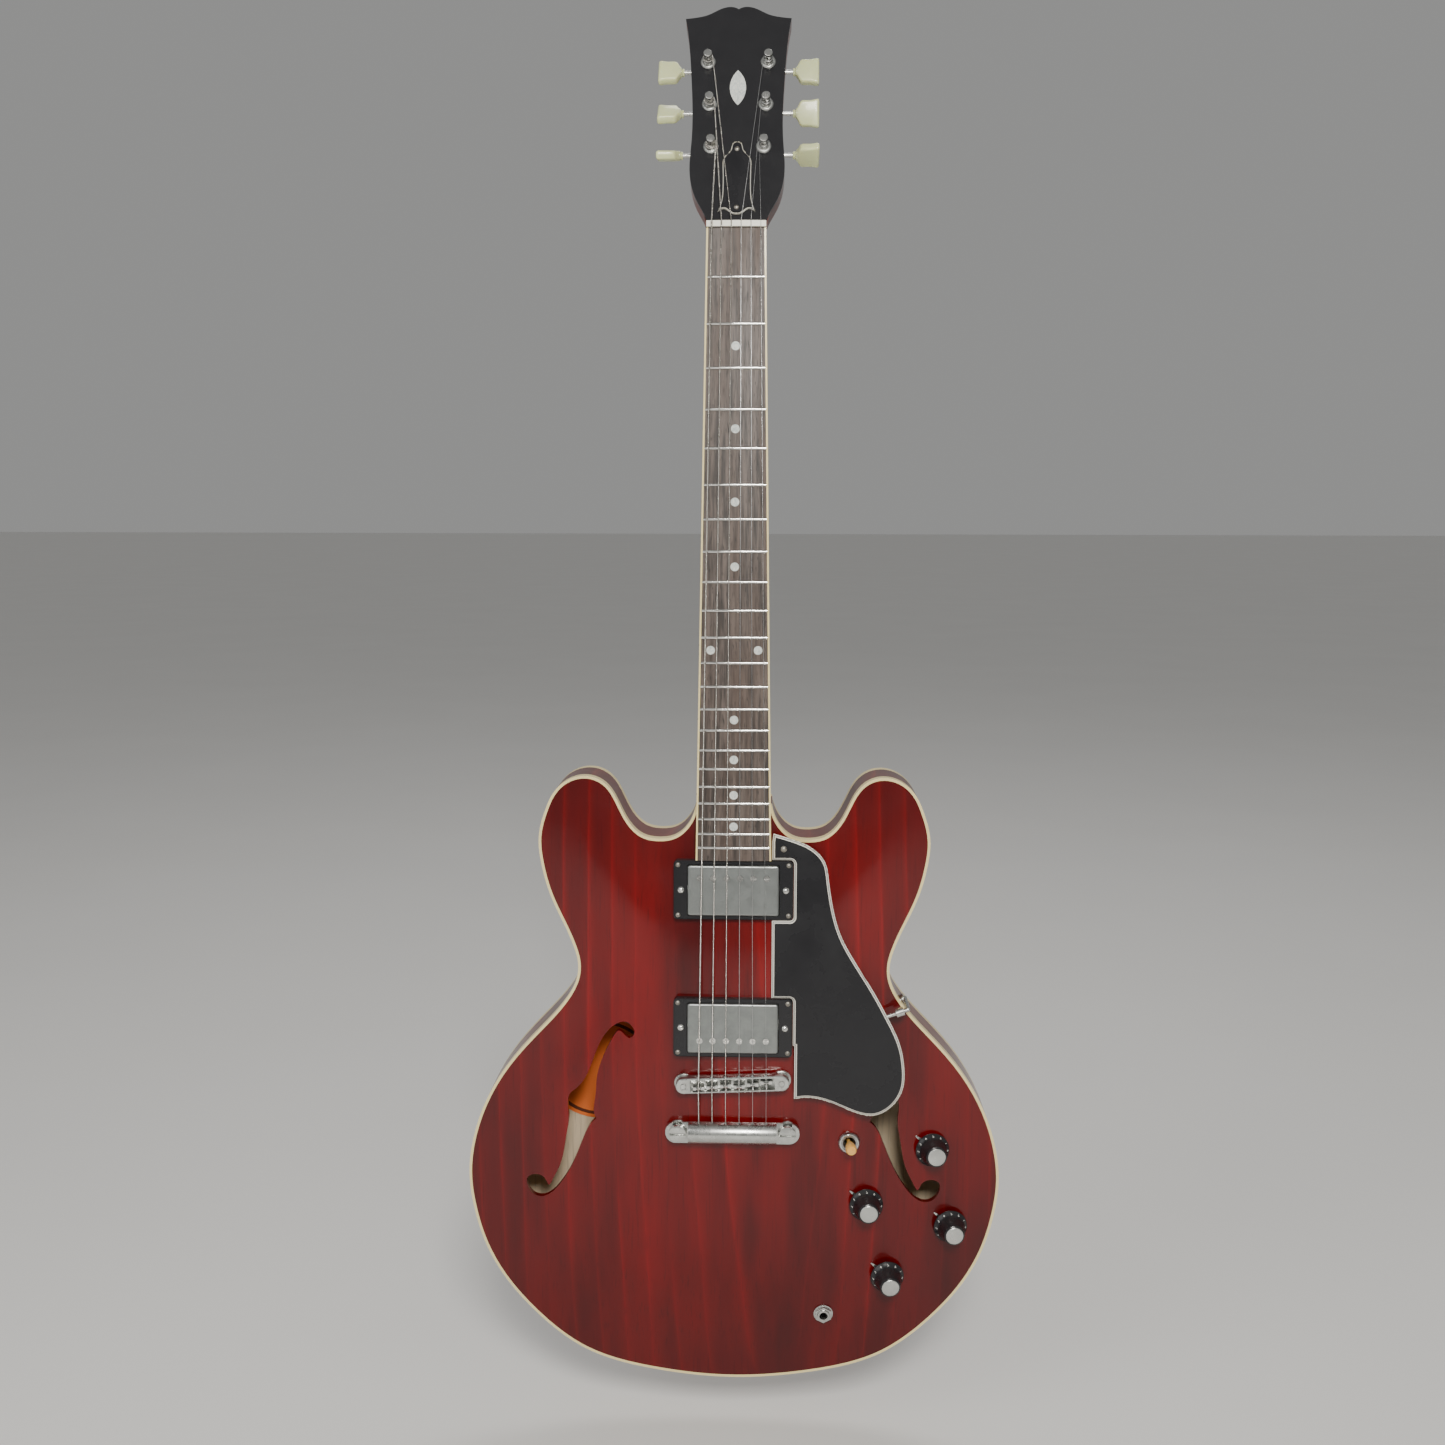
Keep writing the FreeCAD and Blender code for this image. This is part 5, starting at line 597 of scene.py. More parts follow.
def applied(holder):
    """The evaluated mesh of a helper object, which is removed with its modifiers."""
    bpy.context.view_layer.update()
    evaluated = holder.evaluated_get(bpy.context.evaluated_depsgraph_get())
    mesh = bpy.data.meshes.new_from_object(evaluated)
    bpy.data.objects.remove(holder)
    return mesh


def finished_node(node, finish_name, edge_break=0.0, crease=32):
    """A smooth-shaded piece in place of a CAD node, with its sharp edges softened."""
    bm = welded(node, math.radians(0.6) if edge_break else None)
    soften(bm, math.radians(crease))
    mesh = bpy.data.meshes.new(node + "_mesh")
    bm.to_mesh(mesh)
    bm.free()
    if edge_break:
        mesh = bevelled(mesh, edge_break)
        bm = bmesh.new()
        bm.from_mesh(mesh)
        soften(bm, math.radians(crease))
        bm.to_mesh(mesh)
        bm.free()
    piece = new_piece(node + "_finish", mesh, body_of_node(node), finish_name, node)
    return piece


def lathe(profile, steps=64):
    """A turned bmesh about z from (radius, height) pairs, poles closed."""
    bm = bmesh.new()
    rings = []
    for radius, height in profile:
        if radius < 1e-7:
            rings.append([bm.verts.new((0, 0, height))])
        else:
            rings.append([bm.verts.new((radius * math.cos(2 * math.pi * i / steps),
                                        radius * math.sin(2 * math.pi * i / steps), height))
                          for i in range(steps)])
    for low, high in zip(rings, rings[1:]):
        for i in range(steps):
            j = (i + 1) % steps
            corners = [low[i % len(low)], low[j % len(low)], high[j % len(high)], high[i % len(high)]]
            kept = [corner for k, corner in enumerate(corners) if corner not in corners[:k]]
            if len(kept) > 2:
                bm.faces.new(kept)
    bmesh.ops.recalc_face_normals(bm, faces=bm.faces)
    return bm


def to_mesh(bm, name, frame_matrix=Matrix(), crease=32):
    soften(bm, math.radians(crease))
    mesh = bpy.data.meshes.new(name)
    bm.to_mesh(mesh)
    bm.free()
    mesh.transform(frame_matrix)
    return mesh


def joint_frame(name):
    """Frame on a joint: origin at the joint, z along its axis, y as near to up as it can be."""
    joint = JOINTS[name]
    z = Vector(joint["axis"]).normalized()
    near_up = Vector((0, 0, 1)) if abs(z.z) < 0.9 else Vector((0, 1, 0))
    x = near_up.cross(z).normalized()
    y = z.cross(x)
    turn = Matrix((x, y, z)).transposed().to_4x4()
    return Matrix.Translation(Vector(joint["pos_m"])) @ turn


# ---- geometry node trees ----


def pipe_tree():
    """A pipe along a path of points, which keeps its length from the start as 'along'."""
    tree, graph, given, put = new_group(
        "Pipe along path", "GeometryNodeTree",
        [("Path", "NodeSocketGeometry", None), ("Radius", FLOAT, 0.001), ("Sides", "NodeSocketInt", 10),
         ("Finish", "NodeSocketMaterial", None)],
        [("Pipe", "NodeSocketGeometry")])
    curve = graph.node("GeometryNodeMeshToCurve", Mesh=given["Path"]).outputs[0]
    length = graph.node("GeometryNodeSplineParameter").outputs["Length"]
    stored = graph.node("GeometryNodeStoreNamedAttribute", {"data_type": "FLOAT", "domain": "POINT"},
                        Geometry=curve, Name="along", Value=length).outputs[0]
    ring = graph.node("GeometryNodeCurvePrimitiveCircle", Resolution=given["Sides"],
                      Radius=given["Radius"]).outputs[0]
    pipe = graph.node("GeometryNodeCurveToMesh", None, {0: stored, 1: ring}, Fill_Caps=True).outputs[0]
    smooth = graph.node("GeometryNodeSetShadeSmooth", None, {0: pipe}).outputs[0]
    real = graph.node("GeometryNodeRealizeInstances", None, {0: smooth}).outputs[0]
    graph.feed(put["Pipe"], graph.node("GeometryNodeSetMaterial", Geometry=real,
                                       Material=given["Finish"]).outputs[0])
    return tree


def dots_tree():
    """Flat round dots set on the vertices of a mesh, facing along the vector Facing."""
    tree, graph, given, put = new_group(
        "Dots on points", "GeometryNodeTree",
        [("Places", "NodeSocketGeometry", None), ("Radius", FLOAT, 0.001), ("Facing", VECTOR, None),
         ("Finish", "NodeSocketMaterial", None)],
        [("Dots", "NodeSocketGeometry")])
    dot = graph.node("GeometryNodeMeshCylinder", Vertices=20, Radius=given["Radius"], Depth=0.0004)
    align = graph.node("FunctionNodeAlignRotationToVector", {"axis": "Z"}, Vector=given["Facing"])
    placed = graph.node("GeometryNodeInstanceOnPoints", Points=given["Places"],
                        Instance=dot.outputs[0], Rotation=align.outputs[0]).outputs[0]
    real = graph.node("GeometryNodeRealizeInstances", None, {0: placed}).outputs[0]
    graph.feed(put["Dots"], graph.node("GeometryNodeSetMaterial", Geometry=real,
                                       Material=given["Finish"]).outputs[0])
    return tree


def knurl_tree():
    """Ridges round wheels: one wheel at each vertex of a mesh, about the direction Axis."""
    tree, graph, given, put = new_group(
        "Knurl round wheels", "GeometryNodeTree",
        [("Centres", "NodeSocketGeometry", None), ("Radius", FLOAT, 0.0069), ("Height", FLOAT, 0.002),
         ("Count", "NodeSocketInt", 40), ("Ridge", FLOAT, 0.0005), ("Axis", VECTOR, None),
         ("Finish", "NodeSocketMaterial", None)],
        [("Knurl", "NodeSocketGeometry")])
    ring = graph.node("GeometryNodeCurvePrimitiveCircle", Resolution=given["Count"],
                      Radius=given["Radius"]).outputs[0]
    spots = graph.node("GeometryNodeCurveToPoints", {"mode": "EVALUATED"}, Curve=ring).outputs["Points"]
    bar = graph.node("GeometryNodeMeshCylinder", Vertices=6, Radius=given["Ridge"], Depth=given["Height"])
    ridges = graph.node("GeometryNodeInstanceOnPoints", Points=spots, Instance=bar.outputs[0]).outputs[0]
    facing = graph.node("FunctionNodeAlignRotationToVector", {"axis": "Z"}, Vector=given["Axis"]).outputs[0]
    wheels = graph.node("GeometryNodeInstanceOnPoints", Points=given["Centres"], Instance=ridges,
                        Rotation=facing).outputs[0]
    real = graph.node("GeometryNodeRealizeInstances", None, {0: wheels}).outputs[0]
    graph.feed(put["Knurl"], graph.node("GeometryNodeSetMaterial", Geometry=real,
                                        Material=given["Finish"]).outputs[0])
    return tree


def grown(tree, mesh, values):
    """The mesh that a node tree makes from a start mesh; values are set by the inputs' names."""
    holder = bpy.data.objects.new("node_holder", mesh)
    bpy.context.scene.collection.objects.link(holder)
    modifier = holder.modifiers.new("tree", "NODES")
    modifier.node_group = tree
    for item in tree.interface.items_tree:
        if item.in_out == "INPUT" and item.name in values:
            modifier[item.identifier] = values[item.name]
    return applied(holder)


def path_mesh(name, points):
    mesh = bpy.data.meshes.new(name)
    mesh.from_pydata([tuple(point) for point in points], [(i, i + 1) for i in range(len(points) - 1)], [])
    return mesh


# ---- body ----

PAINTED_NODES = (("body_rim", "cherry_side"), ("neck", "cherry_neck"), ("center_block", "bare_wood"),
                 ("linings", "bare_wood"), ("truss_rod", "steel"), ("pots", "steel"),
                 ("pickup_springs", "steel"), ("switch_frame", "steel"), ("body_binding", "binding"))
INNER_FACING = -0.6


def repaint(node, finish_name):
    """Gives its finish to a CAD node that keeps its own shape."""
    holder = frame["nodes"][node]
    for place in holder.material_slots:
        place.link = "OBJECT"
        place.material = material(finish_name)


def plate(node, outward):
    """An arched plate: lacquered on the outside and at its edge, bare wood inside."""
    piece = finished_node(node, "cherry_top", 0.0, 40)
    mesh = piece.data
    mesh.materials.append(material("bare_wood"))
    for face in mesh.polygons:
        if face.normal.y * outward < INNER_FACING:
            face.material_index = 1
    return piece


LABEL_PLACE = Vector((-107, 0, -645)) * MM
LABEL_HALF_WIDTH = 44 * MM
LABEL_HALF_HEIGHT = 43 * MM
LABEL_RINGS = 16
BORDER_RING = 14
LABEL_SECTORS = 48
LABEL_LIFT = 0.3 * MM
LABEL_THICKNESS = 0.15 * MM


def label_mesh():
    """Plain oval paper label glued to the inside of the back, under the bass sound hole."""
    bm = welded("body_back")
    back = BVHTree.FromBMesh(bm)
    bm.free()
    sectors = LABEL_SECTORS
    corners = []
    for ring in range(LABEL_RINGS + 1):
        for sector in range(sectors):
            angle = 2 * math.pi * sector / sectors
            x = LABEL_PLACE.x + LABEL_HALF_WIDTH * ring / LABEL_RINGS * math.cos(angle)
            z = LABEL_PLACE.z + LABEL_HALF_HEIGHT * ring / LABEL_RINGS * math.sin(angle)
            spot = back.ray_cast(Vector((x, 0, z)), Vector((0, 1, 0)))[0]
            corners.append((x, spot.y - LABEL_LIFT, z))
    faces = []
    for ring in range(LABEL_RINGS):
        for sector in range(sectors):
            a = ring * sectors + sector
            b = ring * sectors + (sector + 1) % sectors
            faces.append((a, b, b + sectors, a + sectors))
    bm = bmesh.new()
    bm.from_mesh(mesh_from("label_grid", corners, faces))
    bmesh.ops.remove_doubles(bm, verts=bm.verts, dist=0.01 * MM)
    bmesh.ops.recalc_face_normals(bm, faces=bm.faces)
    bmesh.ops.solidify(bm, geom=bm.faces, thickness=LABEL_THICKNESS)
    return to_mesh(bm, "label_mesh")


class BodyOperator(bpy.types.Operator):
    """Makes the arched top and back, the side, the bindings and what shows inside"""
    bl_idname = "guitar.body"
    bl_label = "Body"

    def execute(self, context):
        plate("body_top", -1)
        plate("body_back", 1)
        for node, finish_name in PAINTED_NODES:
            repaint(node, finish_name)
        paper = new_piece("inner_label", label_mesh(), "guitar", "paper")
        paper.data.materials.append(material("ink"))
        for face in paper.data.polygons:
            across = (face.center.x - LABEL_PLACE.x) / LABEL_HALF_WIDTH
            upward = (face.center.z - LABEL_PLACE.z) / LABEL_HALF_HEIGHT
            if int(math.hypot(across, upward) * LABEL_RINGS) == BORDER_RING:
                face.material_index = 1
        return {"FINISHED"}


# ---- neck and headstock ----


def fret_heights():
    """z of each fret in the row frame, from the nut down, read from the frets themselves."""
    bm = welded("frets")
    islands = []
    seen = set()
    for start in bm.verts:
        if start in seen:
            continue
        stack = [start]
        seen.add(start)
        lows = []
        while stack:
            vertex = stack.pop()
            lows.append(vertex.co.z)
            for edge in vertex.link_edges:
                other = edge.other_vert(vertex)
                if other not in seen:
                    seen.add(other)
                    stack.append(other)
        islands.append((min(lows) + max(lows)) / 2)
    bm.free()
    return sorted(islands, reverse=True)


MARKED_FRETS = (3, 5, 7, 9, 12, 15, 17, 19, 21)
OCTAVE_FRET = 12
OCTAVE_SPREAD = 3.4 * MM
SIDE_DOT_DEPTH = 3.6 * MM
BOARD_HALF_AT_NUT = 21.5 * MM


def side_dot_mesh():
    """Dots in the bass-side binding, midway between the marked frets."""
    heights = [0.0] + fret_heights()
    board_low, board_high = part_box("fingerboard_binding")
    spots = []
    for number in MARKED_FRETS:
        middle = (heights[number] + heights[number - 1]) / 2
        half = BOARD_HALF_AT_NUT + (board_high.x - BOARD_HALF_AT_NUT) * middle / board_low.z
        offsets = (-OCTAVE_SPREAD, OCTAVE_SPREAD) if number == OCTAVE_FRET else (0.0,)
        for offset in offsets:
            spots.append(NECK @ Vector((-half, (middle + offset) / math.cos(NECK_ANGLE), SIDE_DOT_DEPTH)))
    start = mesh_from("side_dot_spots", spots, [])
    return grown(dots_tree(), start, {"Radius": sizes().side_dot, "Facing": (-1.0, 0.0, 0.0),
                                      "Finish": material("black_plastic")})


BEVEL_DROP = 0.86
FOLD_LIMIT = 0.96
LEVEL_TOLERANCE = 0.1 * MM


def boundary_loops(faces):
    """Closed runs of vertices round a patch of faces, each with the patch on its left."""
    region = set(faces)
    following = {}
    for face in faces:
        for corner in face.loops:
            if any(other not in region for other in corner.edge.link_faces):
                following[corner.vert] = corner.link_loop_next.vert
    runs = []
    while following:
        start, vertex = next(iter(following.items()))
        run = [start]
        del following[start]
        while vertex is not start:
            run.append(vertex)
            vertex = following.pop(vertex)
        runs.append(run)
    return runs


def inset_points(outline, up, width):
    """A point for each corner of an outline, width inside it; None where the inset would fold."""
    count = len(outline)
    spots = []
    for i, corner in enumerate(outline):
        before = up.cross(corner - outline[i - 1]).normalized()
        after = up.cross(outline[(i + 1) % count] - corner).normalized()
        inward = (before + after).normalized()
        spot = corner + inward * width / max(0.5, inward.dot(before))
        nearest = min((spot - on_segment(spot, outline[k - 1], outline[k])).length for k in range(count))
        spots.append(spot if nearest > FOLD_LIMIT * width else None)
    return spots


def on_segment(spot, start, end):
    """The point of a segment that is nearest to a spot."""
    along = end - start
    share = (spot - start).dot(along) / max(along.length_squared, 1e-18)
    return start + along * min(1.0, max(0.0, share))


def layered(node, bevel, finish_name, up):
    """Flat plate with a wide bevel round its outer edge that shows its layers."""
    bm = welded(node, math.radians(1.0))
    level = max(vertex.co.dot(up) for vertex in bm.verts)
    floor = min(vertex.co.dot(up) for vertex in bm.verts)
    top = [face for face in bm.faces
           if face.normal.dot(up) > 0.99 and level - face.calc_center_median().dot(up) < LEVEL_TOLERANCE]
    runs = sorted(boundary_loops(top), key=len, reverse=True)
    bmesh.ops.delete(bm, geom=top, context="FACES")
    reach = [max((a.co - b.co).length for a in run[::4] for b in run[::4]) for run in runs]
    outer = runs.pop(reach.index(max(reach)))
    spots = inset_points([vertex.co.copy() for vertex in outer], up, bevel)
    kept = [i for i, spot in enumerate(spots) if spot is not None]
    made = {i: bm.verts.new(spots[i]) for i in kept}
    count = len(outer)
    paired = [made[min(kept, key=lambda k: min(abs(k - i), count - abs(k - i)))] for i in range(count)]
    for i in range(count):
        j = (i + 1) % count
        ring = [outer[i], outer[j], paired[j], paired[i]]
        bm.faces.new(ring if paired[i] is not paired[j] else ring[:3])
    edges = [bm.edges.get((made[a], made[b])) for a, b in zip(kept, kept[1:] + kept[:1])]
    for run in runs:
        edges += [bm.edges.get((a, b)) for a, b in zip(run, run[1:] + run[:1])]
    bmesh.ops.triangle_fill(bm, edges=edges, use_beauty=True, normal=up)
    for vertex in outer:
        vertex.co -= up * (level - floor) * BEVEL_DROP
    bmesh.ops.recalc_face_normals(bm, faces=bm.faces)
    mesh = to_mesh(bm, node + "_mesh", Matrix(), 28)
    piece = new_piece(node + "_finish", mesh, body_of_node(node), finish_name, node)
    return piece


def layer_material(name, node, up, layers):
    """The layered plastic of a plate, between the lowest and highest point of its node."""
    heights = [vertex.co.dot(up) for vertex in frame["nodes"][node].data.vertices]
    low = min(heights)
    high = max(heights)
    return plies(name, low + (high - low) * 0.12, high, up, layers)


class NeckOperator(bpy.types.Operator):
    """Makes the fingerboard, frets, nut, inlays, headstock face and truss rod cover"""
    bl_idname = "guitar.neck"
    bl_label = "Neck and headstock"

    def execute(self, context):
        repaint("fingerboard", "rosewood")
        repaint("fingerboard_binding", "binding")
        repaint("frets", "fret_wire")
        repaint("nut", "ivory")
        repaint("pearl_inlays", "pearl")
        repaint("headstock_veneer", "black_lacquer")
        up = HEAD.to_3x3() @ Vector((0, 0, 1))
        white = tuple(finish().ply_white)
        black = tuple(finish().black)
        MATERIALS["cover_plies"] = layer_material("cover_plies", "truss_rod_cover", up,
                                                  ((0.0, white), (0.62, black)))
        layered("truss_rod_cover", sizes().cover_bevel, "cover_plies", up)
        dots = new_piece("side_dots", side_dot_mesh(), "guitar", "black_plastic")
        return {"FINISHED"}


# ---- pickguard ----


class GuardOperator(bpy.types.Operator):
    """Makes the pickguard with its layered bevel, and its bracket"""
    bl_idname = "guitar.guard"
    bl_label = "Pickguard"

    def execute(self, context):
        up = NECK.to_3x3() @ Vector((0, 0, 1))
        white = tuple(finish().ply_white)
        black = tuple(finish().black)
        MATERIALS["guard_plies"] = layer_material("guard_plies", "pickguard", up,
                                                  ((0.0, white), (0.34, black), (0.5, white),
                                                   (0.86, black)))
        layered("pickguard", sizes().guard_bevel, "guard_plies", up)
        finished_node("pickguard_bracket", "nickel", 0.0)
        return {"FINISHED"}


# ---- strings ----


def string_path(number):
    """Points from the ball in the tailpiece, over the saddle and the nut, round the post."""
    diameter = STRING_DIAMETERS[number] * MM
    radius = diameter / 2
    low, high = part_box("saddle_%d" % (number + 1))
    tail_low, tail_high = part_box("tailpiece")
    x = (low.x + high.x) / 2
    hole_y = tail_high.y - STRING_HOLE_SHARE * (tail_high.y - tail_low.y)
    tail_z = (tail_low.z + tail_high.z) / 2
    peak_z = (low.z + high.z) / 2
    saddle_y = low.y + SADDLE_GROOVE - radius
    nut_x = (number / 5.0 - 0.5) * NUT_SPREAD
    crown = nut_x ** 2 / (2 * BOARD_CROWN)
    nut_spot = NECK @ Vector((nut_x, NUT_LENGTH, NUT_TOP + radius - crown))
    joint = JOINTS["tuner_%d_post" % (post_number(number) + 1)]
    centre = HEAD.inverted() @ Vector(joint["pos_m"])
    side = 1 if centre.x > 0 else -1
    coil = POST_RADIUS + radius + POST_GAP
    points = [Vector((x, hole_y, tail_z - BALL_DEPTH)), Vector((x, hole_y, tail_high.z)),
              Vector((x, saddle_y, peak_z)), nut_spot]
    lift = VENEER + WIND_LIFTS[post_number(number) % 3]
    for step in range(int(WIND_TURNS * COIL_STEPS) + 1):
        angle = 2 * math.pi * step / COIL_STEPS
        drop = (diameter + COIL_GAP) * step / COIL_STEPS
        points.append(HEAD @ Vector((centre.x - side * coil * math.cos(angle),
                                     centre.y + coil * math.sin(angle), lift - drop)))
    return points


def post_number(number):
    return number if number < 3 else 8 - number


class StringsOperator(bpy.types.Operator):
    """Makes the six strings, three of them wound, from the tailpiece to their posts"""
    bl_idname = "guitar.strings"
    bl_label = "Strings"

    def execute(self, context):
        tree = pipe_tree()
        for number, diameter in enumerate(STRING_DIAMETERS):
            finish_name = "wound_string" if number < WOUND_STRINGS else "plain_string"
            start = path_mesh("string_path_%d" % (number + 1), string_path(number))
            mesh = grown(tree, start, {"Radius": diameter / 2 * MM, "Sides": sizes().string_segments,
                                       "Finish": material(finish_name)})
            piece = new_piece("string_%d" % (number + 1), mesh, "guitar", finish_name, "strings")
        return {"FINISHED"}


# ---- pickups, bridge and tailpiece ----


class PickupsOperator(bpy.types.Operator):
    """Makes the pickup covers, their rings, poles and screws"""
    bl_idname = "guitar.pickups"
    bl_label = "Pickups"

    def execute(self, context):
        repaint("pickup_rings", "black_plastic")
        for place in ("neck", "bridge"):
            repaint(place + "_pickup_cover", "cover_nickel")
            repaint(place + "_pickup_coils", "bright_nickel")
        repaint("machine_screws", "bright_nickel")
        repaint("wood_screws", "aged_screw")
        return {"FINISHED"}


WHEEL_RADIUS = 6.9 * MM


def knurl_mesh():
    """Ridges round the two height wheels of the bridge, found as the posts' widest parts."""
    low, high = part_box("bridge_posts")
    spots = [vertex.co for vertex in frame["nodes"]["bridge_posts"].data.vertices]
    centres = []
    for side, edge in ((1, low.x), (-1, high.x)):
        rim = [spot for spot in spots if abs(spot.x - edge) < 0.5 * MM]
        middle_y = (min(spot.y for spot in rim) + max(spot.y for spot in rim)) / 2
        middle_z = (min(spot.z for spot in rim) + max(spot.z for spot in rim)) / 2
        centres.append((edge + side * WHEEL_RADIUS, middle_y, middle_z))
    depth = max(spot.y for spot in rim) - min(spot.y for spot in rim)
    start = mesh_from("wheel_centres", centres, [])
    return grown(knurl_tree(), start, {"Radius": WHEEL_RADIUS, "Height": depth * 0.8, "Ridge": 0.28 * MM,
                                       "Count": sizes().knurl_count, "Axis": (0.0, -1.0, 0.0),
                                       "Finish": material("nickel")})


class BridgeOperator(bpy.types.Operator):
    """Makes the bridge with its saddles and knurled wheels, and the tailpiece on its studs"""
    bl_idname = "guitar.bridge"
    bl_label = "Bridge and tailpiece"

    def execute(self, context):
        finished_node("bridge_body", "nickel", sizes().edge_break)
        finished_node("tailpiece", "nickel", sizes().edge_break)
        finished_node("tailpiece_studs", "nickel", sizes().edge_break)
        repaint("bridge_posts", "nickel")
        knurls = new_piece("bridge_knurls", knurl_mesh(), "guitar", "nickel")
        for number in range(6):
            finished_node("saddle_%d" % (number + 1), "bright_nickel", 0.12 * MM)
        repaint("strap_buttons", "nickel")
        return {"FINISHED"}


# ---- controls ----

KNOB_PROFILE = ((11.0, 3.25), (11.6, 3.2), (12.7, 3.2), (13.0, 3.45), (12.95, 4.3), (12.4, 5.0), (11.2, 6.0),
                (10.2, 7.4), (9.6, 9.4), (9.0, 12.6), (8.35, 16.2), (8.1, 17.4), (7.8, 18.1), (7.2, 18.5),
                (6.9, 18.5), (6.75, 18.3))
CAP_PROFILE = ((6.75, 18.3), (6.7, 18.75), (6.4, 19.0), (3.0, 19.35), (0.0, 19.4))
NUMERAL_PLACE = (0, 11.45 * MM, 5.95 * MM)
NUMERAL_START = math.radians(-150)
NUMERAL_STEP = math.radians(30)
NUMERAL_LEAN = math.radians(-50)


def scaled_profile(profile):
    return [(radius * MM, height * MM) for radius, height in profile]


def numeral_mesh(knob_frame):
    """Numbers 1 to 10 round the sloping skirt, each a thin raised plate."""
    collected = bmesh.new()
    for number in range(1, 11):
        text = bpy.data.curves.new("numeral", "FONT")
        text.body = str(number)
        text.size = sizes().numeral_height
        text.extrude = 0.02 * MM
        text.align_x = "CENTER"
        text.align_y = "CENTER"
        text.resolution_u = 2
        holder = bpy.data.objects.new("numeral", text)
        bpy.context.scene.collection.objects.link(holder)
        mesh = applied(holder)
        angle = NUMERAL_START + NUMERAL_STEP * number
        lean = Matrix.Rotation(NUMERAL_LEAN, 4, "X")
        mesh.transform(Matrix.Rotation(-angle, 4, "Z") @ Matrix.Translation(NUMERAL_PLACE) @ lean)
        collected.from_mesh(mesh)
        bpy.data.meshes.remove(mesh)
        bpy.data.curves.remove(text)
    return to_mesh(collected, "numerals_mesh", knob_frame)


class ControlsOperator(bpy.types.Operator):
    """Makes the numbered knobs with metal caps, the switch and the output jack"""
    bl_idname = "guitar.controls"
    bl_label = "Controls"

    def execute(self, context):
        for number, joint in enumerate(KNOB_JOINTS, 1):
            spot = joint_frame(joint)
            body = "knob_%d_turning" % number
            shell = lathe(scaled_profile(KNOB_PROFILE))
            skirt = new_piece("knob_%d_skirt" % number, to_mesh(shell, "skirt_mesh", spot), body,
                              "black_plastic", "knob_%d" % number)
            cap_name = "knob_cap_%d" % number
            MATERIALS[cap_name] = metal(cap_name, finish().nickel, 0.3, 0.25, spot)
            cap = lathe(scaled_profile(CAP_PROFILE))
            cap_piece = new_piece("knob_%d_cap" % number, to_mesh(cap, "cap_mesh", spot), body, cap_name,
                                  "knob_%d" % number)
            numbers = new_piece("knob_%d_numbers" % number, numeral_mesh(spot), body, "numeral_paint")
        finished_node("control_nuts", "nickel", 0.15 * MM)
        finished_node("jack_socket", "nickel", 0.15 * MM)
        finished_node("switch_lever", "amber_plastic", 0.0)
        return {"FINISHED"}


# ---- tuners ----


BUTTON_OUTLINE = ((2.2, 3.0), (3.6, 4.6), (5.4, 8.4), (7.4, 9.3), (13.0, 9.2), (17.4, 10.0), (19.2, 10.2),
                  (19.6, 9.0))
BUTTON_HALF = 3.25
BUTTON_CROWN = 0.75
BUTTON_FLAT = 0.55
BUTTON_END = 15
BUTTON_ROUNDING = 0.9 * MM
COLLAR_PROFILE = ((0.0, 0.0), (2.6, 0.0), (2.9, 0.4), (3.0, 1.0), (2.4, 1.5), (3.5, 2.3), (3.6, 3.6),
                  (0.0, 3.6))
BUTTON_START = 40.8 * MM
SHAFT_RADIUS = 1.7 * MM
SHAFT_INNER_END = -4.6 * MM
SHAFT_INTO_BUTTON = 1.0 * MM


def keystone_mesh(length_start, frame_matrix):
    """Tulip-shaped button with a stepped collar, about the key's own axis (x)."""
    bm = bmesh.new()
    half = BUTTON_HALF
    rims = []
    for z, pull in ((-half, BUTTON_CROWN), (-half * BUTTON_FLAT, 0.0), (half * BUTTON_FLAT, 0.0),
                    (half, BUTTON_CROWN)):
        points = [(length_start + x * MM - (pull * MM if x > BUTTON_END else 0), (y - pull) * MM, z * MM)
                  for x, y in BUTTON_OUTLINE]
        points += [(x, -y, height) for x, y, height in reversed(points)]
        rims.append([bm.verts.new(point) for point in points])
    for low, high in zip(rims, rims[1:]):
        for i in range(len(low)):
            j = (i + 1) % len(low)
            bm.faces.new((low[i], low[j], high[j], high[i]))
    bm.faces.new(rims[0][::-1])
    bm.faces.new(rims[-1])
    bmesh.ops.recalc_face_normals(bm, faces=bm.faces)
    mesh = to_mesh(bm, "button_mesh", Matrix(), 60)
    holder = bpy.data.objects.new("button_holder", mesh)
    bpy.context.scene.collection.objects.link(holder)
    rounding = holder.modifiers.new("rounding", "BEVEL")
    rounding.width = BUTTON_ROUNDING
    rounding.segments = 3
    rounding.limit_method = "ANGLE"
    rounding.angle_limit = math.radians(40)
    mesh = applied(holder)
    bm = bmesh.new()
    bm.from_mesh(mesh)
    collar = lathe([(radius * MM, length_start + out * MM) for radius, out in COLLAR_PROFILE], 32)
    ring = to_mesh(collar, "collar_mesh", Matrix.Rotation(math.pi / 2, 4, "Y"))
    bm.from_mesh(ring)
    return to_mesh(bm, "button_mesh", frame_matrix, 38)


def key_frame(number):
    """Frame of a tuner key: x along its shaft outwards, turned to its rest angle."""
    joint = JOINTS["tuner_%d_key" % number]
    origin = Vector(joint["pos_m"])
    outward = Vector(joint["axis"]).normalized()
    up_head = HEAD.to_3x3() @ Vector((0, 0, 1))
    along = up_head.cross(outward)
    base = Matrix((outward, along, up_head)).transposed().to_4x4()
    return Matrix.Translation(origin) @ base @ Matrix.Rotation(math.radians(KEY_TURNS[number - 1]), 4, "X")


